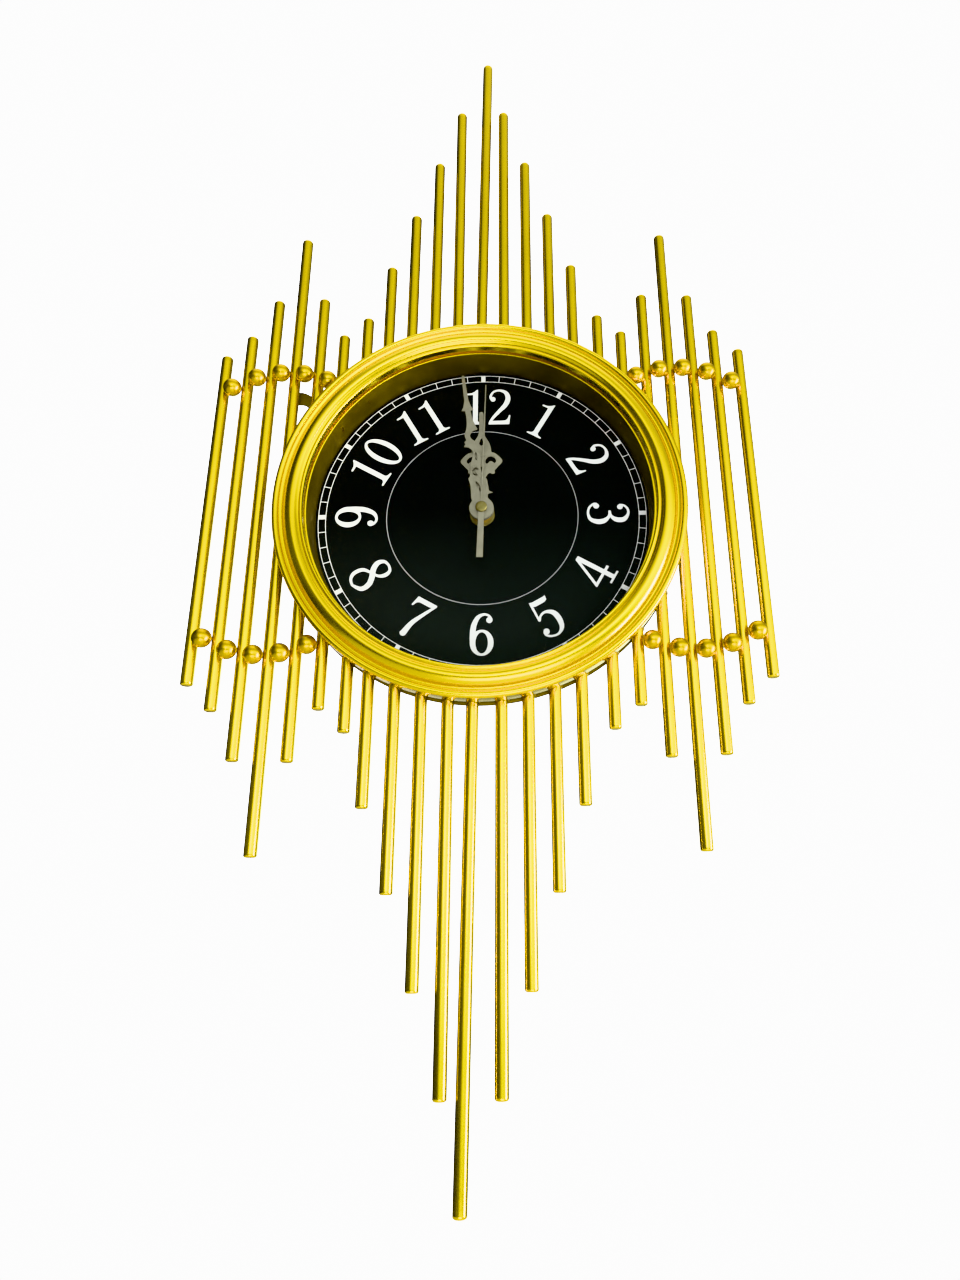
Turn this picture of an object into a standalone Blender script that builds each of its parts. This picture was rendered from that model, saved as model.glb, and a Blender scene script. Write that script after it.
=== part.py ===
"""Sunburst wall clock with a quartz movement.

Frame: the origin is on the dial's axis in the plane of the wall, +Z points up and -Y into the room.
Lengths below are in millimetres and turned into metres by MM. The depth y is negative in front of
the wall, so the front of a piece is its lower y.
"""

import math

import bmesh
import bpy
from mathutils.geometry import tessellate_polygon

MM = 0.001
GAP = 0.3  # clearance between pieces that touch

# Rods of the sunburst: one every PITCH, numbered outwards from the middle one
PITCH = 16.0
ROD_RADIUS = 3.8
ROD_Y = -35.7
ROD_HALF_LENGTHS = (390, 339, 288, 238, 191, 147, 133, 164, 217, 163, 133, 117)
ROD_CHAMFER = 1.1
FIRST_WHOLE_ROD = 7  # rods nearer the middle are cut at the case
ROD_SIDES = 12

# The bars are placed by hand: the middle one leans, and its neighbours sit left of even spacing
MIDDLE_LEAN = 0.76  # degrees, the top towards +X
MIDDLE_SHIFT = -2.6
LAST_SHIFTED_ROD = 4
SHIFT_ABOVE = -1.2
SHIFT_BELOW = -3.0

# Balls welded between the outer rods, along an arc above and below the dial
BALL_RADIUS = 6.0
BALL_ARC_TOP = 100.0
BALL_ARC_MIDDLE = 8.2
BALL_ARC_DROP = 2.1
BALL_FORWARD = 6.1
BALL_TO_OWN_ROD = 7.9
WELD_RADIUS = 2.2
CASE_CUT_DEPTH = 6.0  # how far the cut for the case reaches before and behind the rods
ROD_END_OVERLAP = 2.0  # how far a cut rod runs into that cut

# Case: drum, bezel, glass, dial and back cover
ROUND_SIDES = 48
DRUM_OUTER = 111.4
DRUM_INNER = 110.4
DRUM_FRONT_Y = -45.4
DRUM_BACK_Y = -1.5
FLANGE_OUTER = 113.8
SHEET = 1.0
DIAL_FRONT_Y = -23.2
DIAL_THICKNESS = 0.8
DIAL_HOLE = 4.3
DIAL_EDGE_GAP = 0.5
LEDGE_INNER = 107.0
BEZEL_OUTER = 131.0
BEZEL_BORE = 114.1
BEZEL_SHEET = 1.2
BEZEL_HOOK_Y = -41.0  # the inner edge of the bezel is turned in behind the rim of the drum
BEAD_RADIUS = 2.2
BEAD_Y = -50.0
LIP_INNER = 111.5
LIP_RADIUS = 1.1
LIP_Y = -51.3
LIP_BACK_Y = -48.0
BEZEL_BACK_Y = -39.9
GLASS_THICKNESS = 2.0
COVER_RADIUS = 112.2
COVER_THICKNESS = 1.2

# Movement: a square case behind the dial, with its centre bush through the dial
CASE_HALF_WIDTH = 28.0
CASE_TOP = 27.0
CASE_BOTTOM = -31.0
CASE_FRONT_Y = DIAL_FRONT_Y + DIAL_THICKNESS + GAP
CASE_BACK_Y = -6.1
WALL = 1.2
WINDOW_HALF_WIDTH = 27.0
BAY_MARGIN = 1.0
LID_Y = (-7.5, -6.3)
BAY_DIVIDER_Z = -12.4
BATTERY_RADIUS = 7.1
BATTERY_HALF_LENGTH = 25.0
BATTERY_CAN_END = 23.6
BATTERY_CAP_RADIUS = 2.7
BATTERY_CHAMFER = 0.4
BATTERY_SIDES = 20
BUSH_RADIUS = 4.0
BUSH_BORE = 2.9
BUSH_FRONT_Y = -28.5
NUT_ACROSS_CORNERS = 13.0
NUT_FRONT_Y = -26.4
PIVOT_HOLE = 0.85
ARBOR = 0.5
STOUT_ARBOR = 1.0
ARBOR_FRONT_Y = -20.5
ARBOR_BACK_Y = -6.6
STATOR_OUTLINE = (-23.8, -8.4, 9.2, 18.4)
STATOR_Y = (-10.6, -9.8)
STATOR_BORE = 3.6
WINDING_RADIUS = 2.9
WINDING_LENGTH = 21.0
WINDING_PLACE = (-23.2, -11.4, 5.0)

# Gear train: teeth of wheel and pinion in each mesh, and the distance between their axes
ROTOR_LEAVES, INTERMEDIATE_TEETH, ROTOR_TO_INTERMEDIATE = 8, 40, 8.4
INTERMEDIATE_LEAVES, SECONDS_TEETH, INTERMEDIATE_TO_CENTRE = 8, 48, 11.76
SECONDS_LEAVES, THIRD_TEETH, THIRD_TO_CENTRE = 8, 60, 11.9
THIRD_LEAVES, CENTRE_TEETH = 8, 64
CANNON_LEAVES, MOTION_TEETH, MOTION_TO_CENTRE = 12, 36, 12.6
MOTION_LEAVES, HOUR_TEETH = 10, 40
INTERMEDIATE_BEARING = 155.0
ROTOR_BEARING = 100.0
THIRD_BEARING = 75.0
MOTION_BEARING = 0.0

# Front and back of each wheel and pinion, and the tubes that carry the hands
MAGNET_RADIUS = 3.0
MAGNET_Y = (-10.9, -8.9)
ROTOR_LEAVES_Y = (-12.3, -10.5)
INTERMEDIATE_WHEEL_Y = (-12.0, -11.3)
INTERMEDIATE_LEAVES_Y = (-13.9, -11.7)
SECONDS_WHEEL_Y = (-13.6, -12.9)
SECONDS_LEAVES_Y = (-15.5, -13.2)
THIRD_WHEEL_Y = (-15.3, -14.6)
THIRD_LEAVES_Y = (-17.3, -15.0)
CENTRE_WHEEL_Y = (-17.1, -16.4)
CANNON_LEAVES_Y = (-18.9, -17.6)
CANNON_TUBE_BACK_Y = -15.9
MOTION_WHEEL_Y = (-18.7, -18.0)
MOTION_LEAVES_Y = (-20.4, -18.4)
MOTION_ARBOR_BACK_Y = -3.4
HOUR_WHEEL_Y = (-20.2, -19.5)
HOUR_TUBE_BACK_Y = -19.7
MINUTE_TUBE_OUTER = 1.75
MINUTE_TUBE_INNER = 0.85
HOUR_TUBE_OUTER = 2.6
HOUR_TUBE_INNER = 2.05
TUBE_PROUD = 0.3  # how far each tube stands out of its hand
HOUR_WASHER = (5.0, 2.9, -20.7, -20.45)
KNOB_WASHER = (3.0, 1.3, -8.2, -7.9)
KNOB_RADIUS = 6.0
KNOB_ROOT = 5.5
KNOB_RIBS = 12
KNOB_Y = (-5.9, -2.0)

# Hands, and where each one points at rest, in degrees clockwise from twelve
HAND_THICKNESS = 0.6
BOSS_RADIUS = 8.0
HOUR_HAND_Y = -31.0
MINUTE_HAND_Y = -33.2
SECOND_HAND_Y = -35.4
HOUR_ANGLE = -0.6
MINUTE_ANGLE = -7.6
SECOND_ANGLE = 1.5
NEEDLE_THICKNESS = 0.5
HUB_RADIUS = 3.7
HUB_Y = (SECOND_HAND_Y - 1.4, SECOND_HAND_Y + 0.8)
SOCKET_Y = (SECOND_HAND_Y - 0.5, SECOND_HAND_Y + 2.0)

# Openings in the back cover
KEYHOLE_Z = 78.0
KEYHOLE_RADIUS = 5.0
KEYHOLE_SLOT_HALF_WIDTH = 2.6
KEYHOLE_TOP = 92.0
KNOB_HOLE_RADIUS = 8.0


def clear_scene():
    for obj in list(bpy.data.objects):
        bpy.data.objects.remove(obj)


def make_material(name, colour, roughness, metallic):
    material = bpy.data.materials.new(name)
    material.use_nodes = True
    shader = material.node_tree.nodes["Principled BSDF"]
    shader.inputs["Base Color"].default_value = (*colour, 1)
    shader.inputs["Roughness"].default_value = roughness
    shader.inputs["Metallic"].default_value = metallic
    return material


def make_object(name, mesh_builder, material=None, place=(0, 0, 0), parent=None):
    """An object from a bmesh whose points are in millimetres about its own origin."""
    mesh_builder.normal_update()
    bmesh.ops.recalc_face_normals(mesh_builder, faces=mesh_builder.faces)
    bmesh.ops.scale(mesh_builder, vec=(MM, MM, MM), verts=mesh_builder.verts)
    mesh = bpy.data.meshes.new(name)
    mesh_builder.to_mesh(mesh)
    mesh_builder.free()
    mesh.shade_smooth()
    mesh.set_sharp_from_angle(angle=math.radians(35))
    obj = bpy.data.objects.new(name, mesh)
    obj.location = [MM * value for value in place]
    obj.parent = parent
    if material:
        mesh.materials.append(material)
    bpy.context.scene.collection.objects.link(obj)
    return obj


def make_tool(name, mesh_builder, place=(0, 0, 0), parent=None):
    """A helper solid that only serves in a Boolean."""
    tool = make_object(name, mesh_builder, None, place, parent)
    tool.hide_render = True
    tool.display_type = "WIRE"
    return tool


def combine(obj, tool, operation):
    modifier = obj.modifiers.new(tool.name, "BOOLEAN")
    modifier.operation = operation
    modifier.object = tool
    modifier.solver = "EXACT"
    return obj


def make_axis(name, x, z, parent=None):
    """An empty on an axis that runs front to back."""
    axis = bpy.data.objects.new(name, None)
    axis.location = (MM * x, 0, MM * z)
    axis.parent = parent
    bpy.context.scene.collection.objects.link(axis)
    return axis


def turned(profile, sides=ROUND_SIDES):
    """A solid turned about the Y axis from a closed profile of (radius, y) points."""
    builder = bmesh.new()
    ring = [builder.verts.new((radius, y, 0)) for radius, y in profile]
    edges = [builder.edges.new((a, b)) for a, b in zip(ring, ring[1:] + ring[:1])]
    bmesh.ops.spin(
        builder,
        geom=ring + edges,
        axis=(0, 1, 0),
        cent=(0, 0, 0),
        steps=sides,
        angle=math.tau,
        use_merge=True,
    )
    bmesh.ops.remove_doubles(builder, verts=builder.verts, dist=1e-4)
    return builder


def disc(radius, front, back, sides=ROUND_SIDES):
    """A plain cylinder on the Y axis."""
    builder = bmesh.new()
    corners = circle(radius, sides)
    return prism(corners, [], front, back, builder)


def circle(radius, sides=24, x=0.0, z=0.0):
    turns = [math.tau * step / sides for step in range(sides)]
    return [(x + radius * math.sin(turn), z + radius * math.cos(turn)) for turn in turns]


def box_outline(left, right, bottom, top):
    return [(left, bottom), (right, bottom), (right, top), (left, top)]


def prism(outline, holes, front, back, builder=None):
    """A plate between two depths, from an outline of (x, z) points and the outlines of its holes."""
    builder = builder or bmesh.new()
    loops = [outline] + list(holes)
    flat = [point for loop in loops for point in loop]
    triangles = tessellate_polygon([[(x, z, 0) for x, z in loop] for loop in loops])
    fronts = [builder.verts.new((x, front, z)) for x, z in flat]
    backs = [builder.verts.new((x, back, z)) for x, z in flat]
    for a, b, c in triangles:
        builder.faces.new((fronts[a], fronts[b], fronts[c]))
        builder.faces.new((backs[c], backs[b], backs[a]))
    start = 0
    for loop in loops:
        for step in range(len(loop)):
            here = start + step
            after = start + (step + 1) % len(loop)
            builder.faces.new((fronts[here], fronts[after], backs[after], backs[here]))
        start += len(loop)
    return builder


def compass(bearing, distance):
    """A point at a distance, with the bearing in degrees anticlockwise from +X."""
    turn = math.radians(bearing)
    return distance * math.cos(turn), distance * math.sin(turn)


def wheel_outline(teeth, distance, mate, bearing):
    """Pointed teeth of a wheel that meshes with a pinion: a gap faces the pinion at rest."""
    module = 2 * distance / (teeth + mate)
    pitch_radius = module * teeth / 2
    points = []
    for tooth in range(teeth):
        for half, radius in ((0, pitch_radius - 1.3 * module), (0.5, pitch_radius + 0.8 * module)):
            turn = math.radians(bearing) + math.tau * (tooth + half) / teeth
            points.append((radius * math.cos(turn), radius * math.sin(turn)))
    return points


def pinion_outline(leaves, distance, mate, bearing):
    """Leaves of a pinion: one of them points at the wheel at rest."""
    module = 2 * distance / (leaves + mate)
    pitch_radius = module * leaves / 2
    root = pitch_radius - 1.2 * module
    tip = pitch_radius + 0.6 * module
    points = []
    for leaf in range(leaves):
        for part, radius in ((-0.27, root), (-0.06, tip), (0.06, tip), (0.27, root)):
            turn = math.radians(bearing) + math.tau * (leaf + part) / leaves
            points.append((radius * math.cos(turn), radius * math.sin(turn)))
    return points


def arbor(radius, front, back):
    return prism(circle(radius, 10), [], front, back)


# ---------------------------------------------------------------- sunburst


def ball_height(between):
    """Height of the ball between two rods, given the mean of their numbers."""
    return BALL_ARC_TOP - BALL_ARC_DROP * (between - BALL_ARC_MIDDLE) ** 2


def rod_builder(low, high):
    """A round bar on the Z axis with chamfered ends."""
    profile_z = (low, low + ROD_CHAMFER, high - ROD_CHAMFER, high)
    radii = (ROD_RADIUS - ROD_CHAMFER, ROD_RADIUS, ROD_RADIUS, ROD_RADIUS - ROD_CHAMFER)
    builder = bmesh.new()
    rings = []
    for z, radius in zip(profile_z, radii):
        corners = circle(radius, ROD_SIDES)
        rings.append([builder.verts.new((x, y, z)) for x, y in corners])
    for lower, upper in zip(rings, rings[1:]):
        for step in range(ROD_SIDES):
            after = (step + 1) % ROD_SIDES
            builder.faces.new((lower[step], lower[after], upper[after], upper[step]))
    builder.faces.new(rings[0][::-1])
    builder.faces.new(rings[-1])
    return builder


def ball_tools(name, rod, x, side, number):
    """The two balls welded to the inner side of a rod, each with its bead of weld."""
    for above in (1, -1):
        height = above * ball_height(number - 0.5)
        place = (x - side * BALL_TO_OWN_ROD, ROD_Y - BALL_FORWARD, height)
        word = "upper" if above > 0 else "lower"
        builder = bmesh.new()
        bmesh.ops.create_uvsphere(builder, u_segments=10, v_segments=6, radius=BALL_RADIUS)
        combine(rod, make_tool(f"{name}_{word}_ball", builder, place), "UNION")
        bead = bmesh.new()
        bmesh.ops.create_cone(
            bead,
            cap_ends=True,
            segments=6,
            radius1=WELD_RADIUS,
            radius2=WELD_RADIUS,
            depth=BALL_TO_OWN_ROD,
        )
        middle = ((x + place[0]) / 2, ROD_Y - BALL_FORWARD / 2, height)
        tool = make_tool(f"{name}_{word}_weld", bead, middle)
        tool.rotation_euler = (0, math.pi / 2, side * math.atan2(BALL_FORWARD, BALL_TO_OWN_ROD))
        combine(rod, tool, "UNION")


def rod_x(number, side, above):
    """Where the line of a rod crosses the height of the dial axis."""
    if number == 0:
        return MIDDLE_SHIFT
    shift = SHIFT_ABOVE if above > 0 else SHIFT_BELOW
    return side * number * PITCH + (shift if number <= LAST_SHIFTED_ROD else 0)


def make_sunburst(steel):
    """Rods behind the bezel: whole ones beside the case, and pairs cut to meet its wall."""
    front, back = ROD_Y - CASE_CUT_DEPTH, ROD_Y + CASE_CUT_DEPTH
    hollow = disc(DRUM_OUTER + GAP, front, back, 2 * ROUND_SIDES)
    case_clearance = make_tool("case_clearance", hollow)
    for number, half_length in enumerate(ROD_HALF_LENGTHS):
        for side in (-1, 1) if number else (1,):
            where = {-1: "left", 1: "right"}[side] if number else "middle"
            label = f"rod_{where}_{number:02d}" if number else "rod_middle"
            if number >= FIRST_WHOLE_ROD:
                x = rod_x(number, side, 1)
                builder = rod_builder(-half_length, half_length)
                rod = make_object(label, builder, steel, (x, ROD_Y, 0))
                if number == FIRST_WHOLE_ROD:
                    combine(rod, case_clearance, "DIFFERENCE")
                ball_tools(label, rod, x, side, number)
                continue
            for word, above in (("upper", 1), ("lower", -1)):
                x = rod_x(number, side, above)
                reach = abs(x) + ROD_RADIUS
                inner = math.sqrt(DRUM_OUTER**2 - reach**2) - ROD_END_OVERLAP
                low, high = sorted((above * inner, above * half_length))
                builder = rod_builder(low, high)
                rod = make_object(f"{label}_{word}", builder, steel, (x, ROD_Y, 0))
                if number == 0:
                    rod.rotation_euler.y = math.radians(MIDDLE_LEAN)
                combine(rod, case_clearance, "DIFFERENCE")


# ---------------------------------------------------------------- case


def arc(centre_radius, centre_y, size, start, end, steps):
    """Points of an arc in a turned profile, its angles in degrees from outwards towards the front."""
    turns = [math.radians(start + (end - start) * step / steps) for step in range(steps + 1)]
    return [
        (centre_radius + size * math.cos(turn), centre_y - size * math.sin(turn)) for turn in turns
    ]


def bezel_profile():
    """Spun sheet: outer bead, groove, broad crowned band, fine step and rolled lip."""
    face = [(BEZEL_OUTER - 0.6, BEZEL_BACK_Y)]
    face += arc(BEZEL_OUTER - BEAD_RADIUS, BEAD_Y, BEAD_RADIUS, 0, 150, 4)
    face += [(124.6, -49.4)]
    face += [(123.2, -51.2), (121.0, -53.2), (118.4, -54.0), (115.8, -53.2)]
    face += [(114.4, -52.0)]
    face += arc(LIP_INNER + LIP_RADIUS, LIP_Y, LIP_RADIUS, 45, 180, 3)
    face += [(LIP_INNER, LIP_BACK_Y)]
    inside = BEZEL_BORE + BEZEL_SHEET
    back = [(BEZEL_BORE, LIP_BACK_Y), (BEZEL_BORE, BEZEL_HOOK_Y), (inside, BEZEL_HOOK_Y)]
    back += [(inside, -50.2), (118.4, -52.4), (122.4, -50.2), (124.0, -48.0)]
    back += [(127.0, -48.4), (BEZEL_OUTER - 2.0, -49.4), (BEZEL_OUTER - 2.0, BEZEL_BACK_Y)]
    return face + back


def drum_profile():
    """Tube with a rim turned out under the bezel and a ledge that the dial rests on."""
    ledge = DIAL_FRONT_Y + DIAL_THICKNESS + GAP
    return [
        (FLANGE_OUTER, DRUM_FRONT_Y),
        (FLANGE_OUTER, DRUM_FRONT_Y + SHEET),
        (DRUM_OUTER, DRUM_FRONT_Y + SHEET),
        (DRUM_OUTER, DRUM_BACK_Y),
        (DRUM_INNER, DRUM_BACK_Y),
        (DRUM_INNER, ledge + SHEET),
        (LEDGE_INNER, ledge + SHEET),
        (LEDGE_INNER, ledge),
        (DRUM_INNER, ledge),
        (DRUM_INNER, DRUM_FRONT_Y),
    ]


def keyhole_outline():
    """A round hole with a narrower slot above it."""
    half_angle = math.degrees(math.asin(KEYHOLE_SLOT_HALF_WIDTH / KEYHOLE_RADIUS))
    round_part = []
    for step in range(13):
        turn = 90 + half_angle + (360 - 2 * half_angle) * step / 12
        x, z = compass(turn, KEYHOLE_RADIUS)
        round_part.append((x, KEYHOLE_Z + z))
    slot_end = KEYHOLE_TOP - KEYHOLE_SLOT_HALF_WIDTH
    end_part = []
    for step in range(7):
        x, z = compass(180 * step / 6, KEYHOLE_SLOT_HALF_WIDTH)
        end_part.append((x, slot_end + z))
    return round_part + end_part


def make_case(gold, dark_steel, enamel, clear):
    make_object("bezel", turned(bezel_profile()), gold)
    glass_back = LIP_BACK_Y + GAP + GLASS_THICKNESS
    make_object("front_glass", disc(FLANGE_OUTER, LIP_BACK_Y + GAP, glass_back), clear)
    make_object("case_drum", turned(drum_profile()), gold)
    dial_outline = circle(DRUM_INNER - DIAL_EDGE_GAP, ROUND_SIDES)
    dial = prism(dial_outline, [circle(DIAL_HOLE)], DIAL_FRONT_Y, DIAL_FRONT_Y + DIAL_THICKNESS)
    make_object("dial_plate", dial, enamel)
    window = box_outline(
        -WINDOW_HALF_WIDTH, WINDOW_HALF_WIDTH, CASE_BOTTOM + BAY_MARGIN, BAY_DIVIDER_Z - BAY_MARGIN
    )
    holes = [keyhole_outline(), window, circle(KNOB_HOLE_RADIUS, 24, *motion_place())]
    cover = prism(circle(COVER_RADIUS, ROUND_SIDES), holes, -COVER_THICKNESS, 0)
    make_object("back_cover", cover, dark_steel)


# ---------------------------------------------------------------- movement


def motion_place():
    return compass(MOTION_BEARING, MOTION_TO_CENTRE)


def third_place():
    return compass(THIRD_BEARING, THIRD_TO_CENTRE)


def intermediate_place():
    return compass(INTERMEDIATE_BEARING, INTERMEDIATE_TO_CENTRE)


def rotor_place():
    x, z = intermediate_place()
    dx, dz = compass(ROTOR_BEARING, ROTOR_TO_INTERMEDIATE)
    return x + dx, z + dz


def make_movement_case(black, white, cell_cover):
    """Moulded case with a gear chamber and an open battery bay, and a lid over the chamber."""
    half = CASE_HALF_WIDTH
    outline = box_outline(-half, half, CASE_BOTTOM, CASE_TOP)
    case = make_object("movement_case", prism(outline, [], CASE_FRONT_Y, CASE_BACK_Y), black)
    inside = CASE_FRONT_Y + WALL
    chamber = box_outline(WALL - half, half - WALL, BAY_DIVIDER_Z, CASE_TOP - WALL)
    bay = box_outline(WALL - half, half - WALL, CASE_BOTTOM + WALL, BAY_DIVIDER_Z - WALL)
    for name, room in (("gear_chamber", chamber), ("battery_bay", bay)):
        combine(case, make_tool(name, prism(room, [], inside, 1)), "DIFFERENCE")
    bush = disc(BUSH_RADIUS, BUSH_FRONT_Y, inside - WALL / 3, 24)
    combine(case, make_tool("bush_outside", bush), "UNION")
    bore = disc(BUSH_BORE, BUSH_FRONT_Y - 1, inside + 1, 24)
    combine(case, make_tool("bush_inside", bore), "DIFFERENCE")
    lid_outline = box_outline(
        WALL + GAP - half, half - WALL - GAP, BAY_DIVIDER_Z + GAP, CASE_TOP - WALL - GAP
    )
    motion_hole = circle(STOUT_ARBOR + GAP, 12, *motion_place())
    places = ((0, 0), rotor_place(), intermediate_place(), third_place())
    pivots = [circle(PIVOT_HOLE, 10, *place) for place in places]
    make_object("movement_lid", prism(lid_outline, [motion_hole] + pivots, *LID_Y), white)
    bay_middle = (CASE_BOTTOM + BAY_DIVIDER_Z) / 2
    place = (0, inside + GAP + BATTERY_RADIUS, bay_middle)
    make_object("battery", battery_builder(), cell_cover, place)


def battery_builder():
    """An AA cell on the X axis, its raised cap towards +X."""
    sections = (
        (-BATTERY_HALF_LENGTH, BATTERY_RADIUS - 2 * BATTERY_CHAMFER),
        (BATTERY_CHAMFER - BATTERY_HALF_LENGTH, BATTERY_RADIUS),
        (BATTERY_CAN_END, BATTERY_RADIUS),
        (BATTERY_CAN_END, BATTERY_CAP_RADIUS),
        (BATTERY_HALF_LENGTH, BATTERY_CAP_RADIUS),
    )
    cell = bmesh.new()
    rings = []
    for x, radius in sections:
        rings.append([cell.verts.new((x, a, b)) for a, b in circle(radius, BATTERY_SIDES)])
    for one, other in zip(rings, rings[1:]):
        for step in range(BATTERY_SIDES):
            after = (step + 1) % BATTERY_SIDES
            cell.faces.new((one[step], one[after], other[after], other[step]))
    cell.faces.new(rings[0][::-1])
    cell.faces.new(rings[-1])
    return cell


def make_coil(copper):
    """Winding on a core, with the stator plate that reaches round the rotor."""
    hole = circle(STATOR_BORE, 16, *rotor_place())
    plate = prism(box_outline(*STATOR_OUTLINE), [hole], *STATOR_Y)
    coil = make_object("stator_coil", plate, copper)
    winding = bmesh.new()
    bmesh.ops.create_cone(
        winding,
        cap_ends=True,
        segments=12,
        radius1=WINDING_RADIUS,
        radius2=WINDING_RADIUS,
        depth=WINDING_LENGTH,
    )
    combine(coil, make_tool("winding", winding, WINDING_PLACE), "UNION")


def make_wheel(name, axis, material, wheel, pinion, shaft, bore=None):
    """A moving wheel: a toothed disc, a pinion and a shaft or tube, all on one axis."""
    (outline, front, back) = wheel
    holes = [circle(bore, 16)] if bore else []
    obj = make_object(name, prism(outline, holes, front, back), material, parent=axis)
    for word, piece in (("pinion", pinion), ("shaft", shaft)):
        if piece:
            combine(obj, make_tool(f"{name}_{word}", piece, parent=axis), "UNION")
    return obj


def tube(outer, inner, front, back, sides=16):
    return prism(circle(outer, sides), [circle(inner, sides)], front, back)


def make_going_train(axes, brass, white, magnet):
    """Rotor, intermediate wheel, seconds wheel, third wheel and centre wheel."""
    leaves = pinion_outline(
        ROTOR_LEAVES, ROTOR_TO_INTERMEDIATE, INTERMEDIATE_TEETH, ROTOR_BEARING + 180
    )
    make_wheel(
        "rotor",
        axes["rotor"],
        magnet,
        (circle(MAGNET_RADIUS, 20), *MAGNET_Y),
        prism(leaves, [], *ROTOR_LEAVES_Y),
        arbor(ARBOR, ARBOR_FRONT_Y, ARBOR_BACK_Y),
    )
    outline = wheel_outline(INTERMEDIATE_TEETH, ROTOR_TO_INTERMEDIATE, ROTOR_LEAVES, ROTOR_BEARING)
    leaves = pinion_outline(
        INTERMEDIATE_LEAVES, INTERMEDIATE_TO_CENTRE, SECONDS_TEETH, INTERMEDIATE_BEARING + 180
    )
    make_wheel(
        "intermediate_wheel",
        axes["intermediate"],
        white,
        (outline, *INTERMEDIATE_WHEEL_Y),
        prism(leaves, [], *INTERMEDIATE_LEAVES_Y),
        arbor(ARBOR, ARBOR_FRONT_Y, ARBOR_BACK_Y),
    )
    outline = wheel_outline(
        SECONDS_TEETH, INTERMEDIATE_TO_CENTRE, INTERMEDIATE_LEAVES, INTERMEDIATE_BEARING
    )
    leaves = pinion_outline(SECONDS_LEAVES, THIRD_TO_CENTRE, THIRD_TEETH, THIRD_BEARING)
    make_wheel(
        "seconds_wheel",
        axes["seconds"],
        brass,
        (outline, *SECONDS_WHEEL_Y),
        prism(leaves, [], *SECONDS_LEAVES_Y),
        arbor(ARBOR, SECOND_HAND_Y - 0.2, ARBOR_BACK_Y),
    )
    outline = wheel_outline(THIRD_TEETH, THIRD_TO_CENTRE, SECONDS_LEAVES, THIRD_BEARING + 180)
    leaves = pinion_outline(THIRD_LEAVES, THIRD_TO_CENTRE, CENTRE_TEETH, THIRD_BEARING + 180)
    make_wheel(
        "third_wheel",
        axes["third"],
        white,
        (outline, *THIRD_WHEEL_Y),
        prism(leaves, [], *THIRD_LEAVES_Y),
        arbor(ARBOR, ARBOR_FRONT_Y, ARBOR_BACK_Y),
    )
    outline = wheel_outline(CENTRE_TEETH, THIRD_TO_CENTRE, THIRD_LEAVES, THIRD_BEARING)
    wheel = (outline, *CENTRE_WHEEL_Y)
    make_wheel("centre_wheel", axes["centre"], brass, wheel, None, None, MINUTE_TUBE_OUTER + GAP)


def make_motion_work(axes, brass, white):
    """Cannon pinion and minute tube, motion wheel, hour wheel and tube, and two spring washers."""
    leaves = pinion_outline(CANNON_LEAVES, MOTION_TO_CENTRE, MOTION_TEETH, MOTION_BEARING)
    front = MINUTE_HAND_Y - HAND_THICKNESS - TUBE_PROUD
    make_wheel(
        "cannon_pinion",
        axes["minute"],
        brass,
        (leaves, *CANNON_LEAVES_Y),
        None,
        tube(MINUTE_TUBE_OUTER, MINUTE_TUBE_INNER, front, CANNON_TUBE_BACK_Y),
        MINUTE_TUBE_INNER,
    )
    outline = wheel_outline(MOTION_TEETH, MOTION_TO_CENTRE, CANNON_LEAVES, MOTION_BEARING + 180)
    leaves = pinion_outline(MOTION_LEAVES, MOTION_TO_CENTRE, HOUR_TEETH, MOTION_BEARING + 180)
    make_wheel(
        "motion_wheel",
        axes["motion"],
        white,
        (outline, *MOTION_WHEEL_Y),
        prism(leaves, [], *MOTION_LEAVES_Y),
        arbor(STOUT_ARBOR, ARBOR_FRONT_Y, MOTION_ARBOR_BACK_Y),
    )
    outline = wheel_outline(HOUR_TEETH, MOTION_TO_CENTRE, MOTION_LEAVES, MOTION_BEARING)
    front = HOUR_HAND_Y - HAND_THICKNESS - TUBE_PROUD
    make_wheel(
        "hour_wheel",
        axes["hour"],
        white,
        (outline, *HOUR_WHEEL_Y),
        None,
        tube(HOUR_TUBE_OUTER, HOUR_TUBE_INNER, front, HOUR_TUBE_BACK_Y),
        HOUR_TUBE_INNER,
    )
    make_object("hour_washer", tube(*HOUR_WASHER, 20), brass, parent=axes["hour_drive"])
    make_object("knob_washer", tube(*KNOB_WASHER), brass, parent=axes["motion_drive"])


def make_knob(axis, black):
    """Ribbed setting knob on the end of the motion arbor."""
    ribs = []
    for step in range(2 * KNOB_RIBS):
        radius = KNOB_RADIUS if step % 2 else KNOB_ROOT
        ribs.append(compass(180 * step / KNOB_RIBS, radius))
    knob = prism(ribs, [circle(STOUT_ARBOR + GAP, 12)], *KNOB_Y)
    make_object("setting_knob", knob, black, parent=axis)


def make_nut(brass):
    """Hexagon nut that clamps the dial to the movement."""
    hexagon = circle(NUT_ACROSS_CORNERS / 2, 6)
    nut = prism(hexagon, [circle(BUSH_RADIUS + GAP)], NUT_FRONT_Y, DIAL_FRONT_Y - GAP)
    make_object("bush_nut", nut, brass)


# ---------------------------------------------------------------- hands


def mirrored(half):
    """A closed outline from its right half, listed from the bottom to the tip."""
    return half + [(-x, z) for x, z in reversed(half) if x > 0]


def boss_arc(half_width, steps=12):
    """The right half of a round boss, from its lowest point up to where the blade leaves it."""
    end = math.pi - math.asin(half_width / BOSS_RADIUS)
    turns = [end * step / steps for step in range(steps + 1)]
    return [(BOSS_RADIUS * math.sin(turn), -BOSS_RADIUS * math.cos(turn)) for turn in turns]


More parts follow.
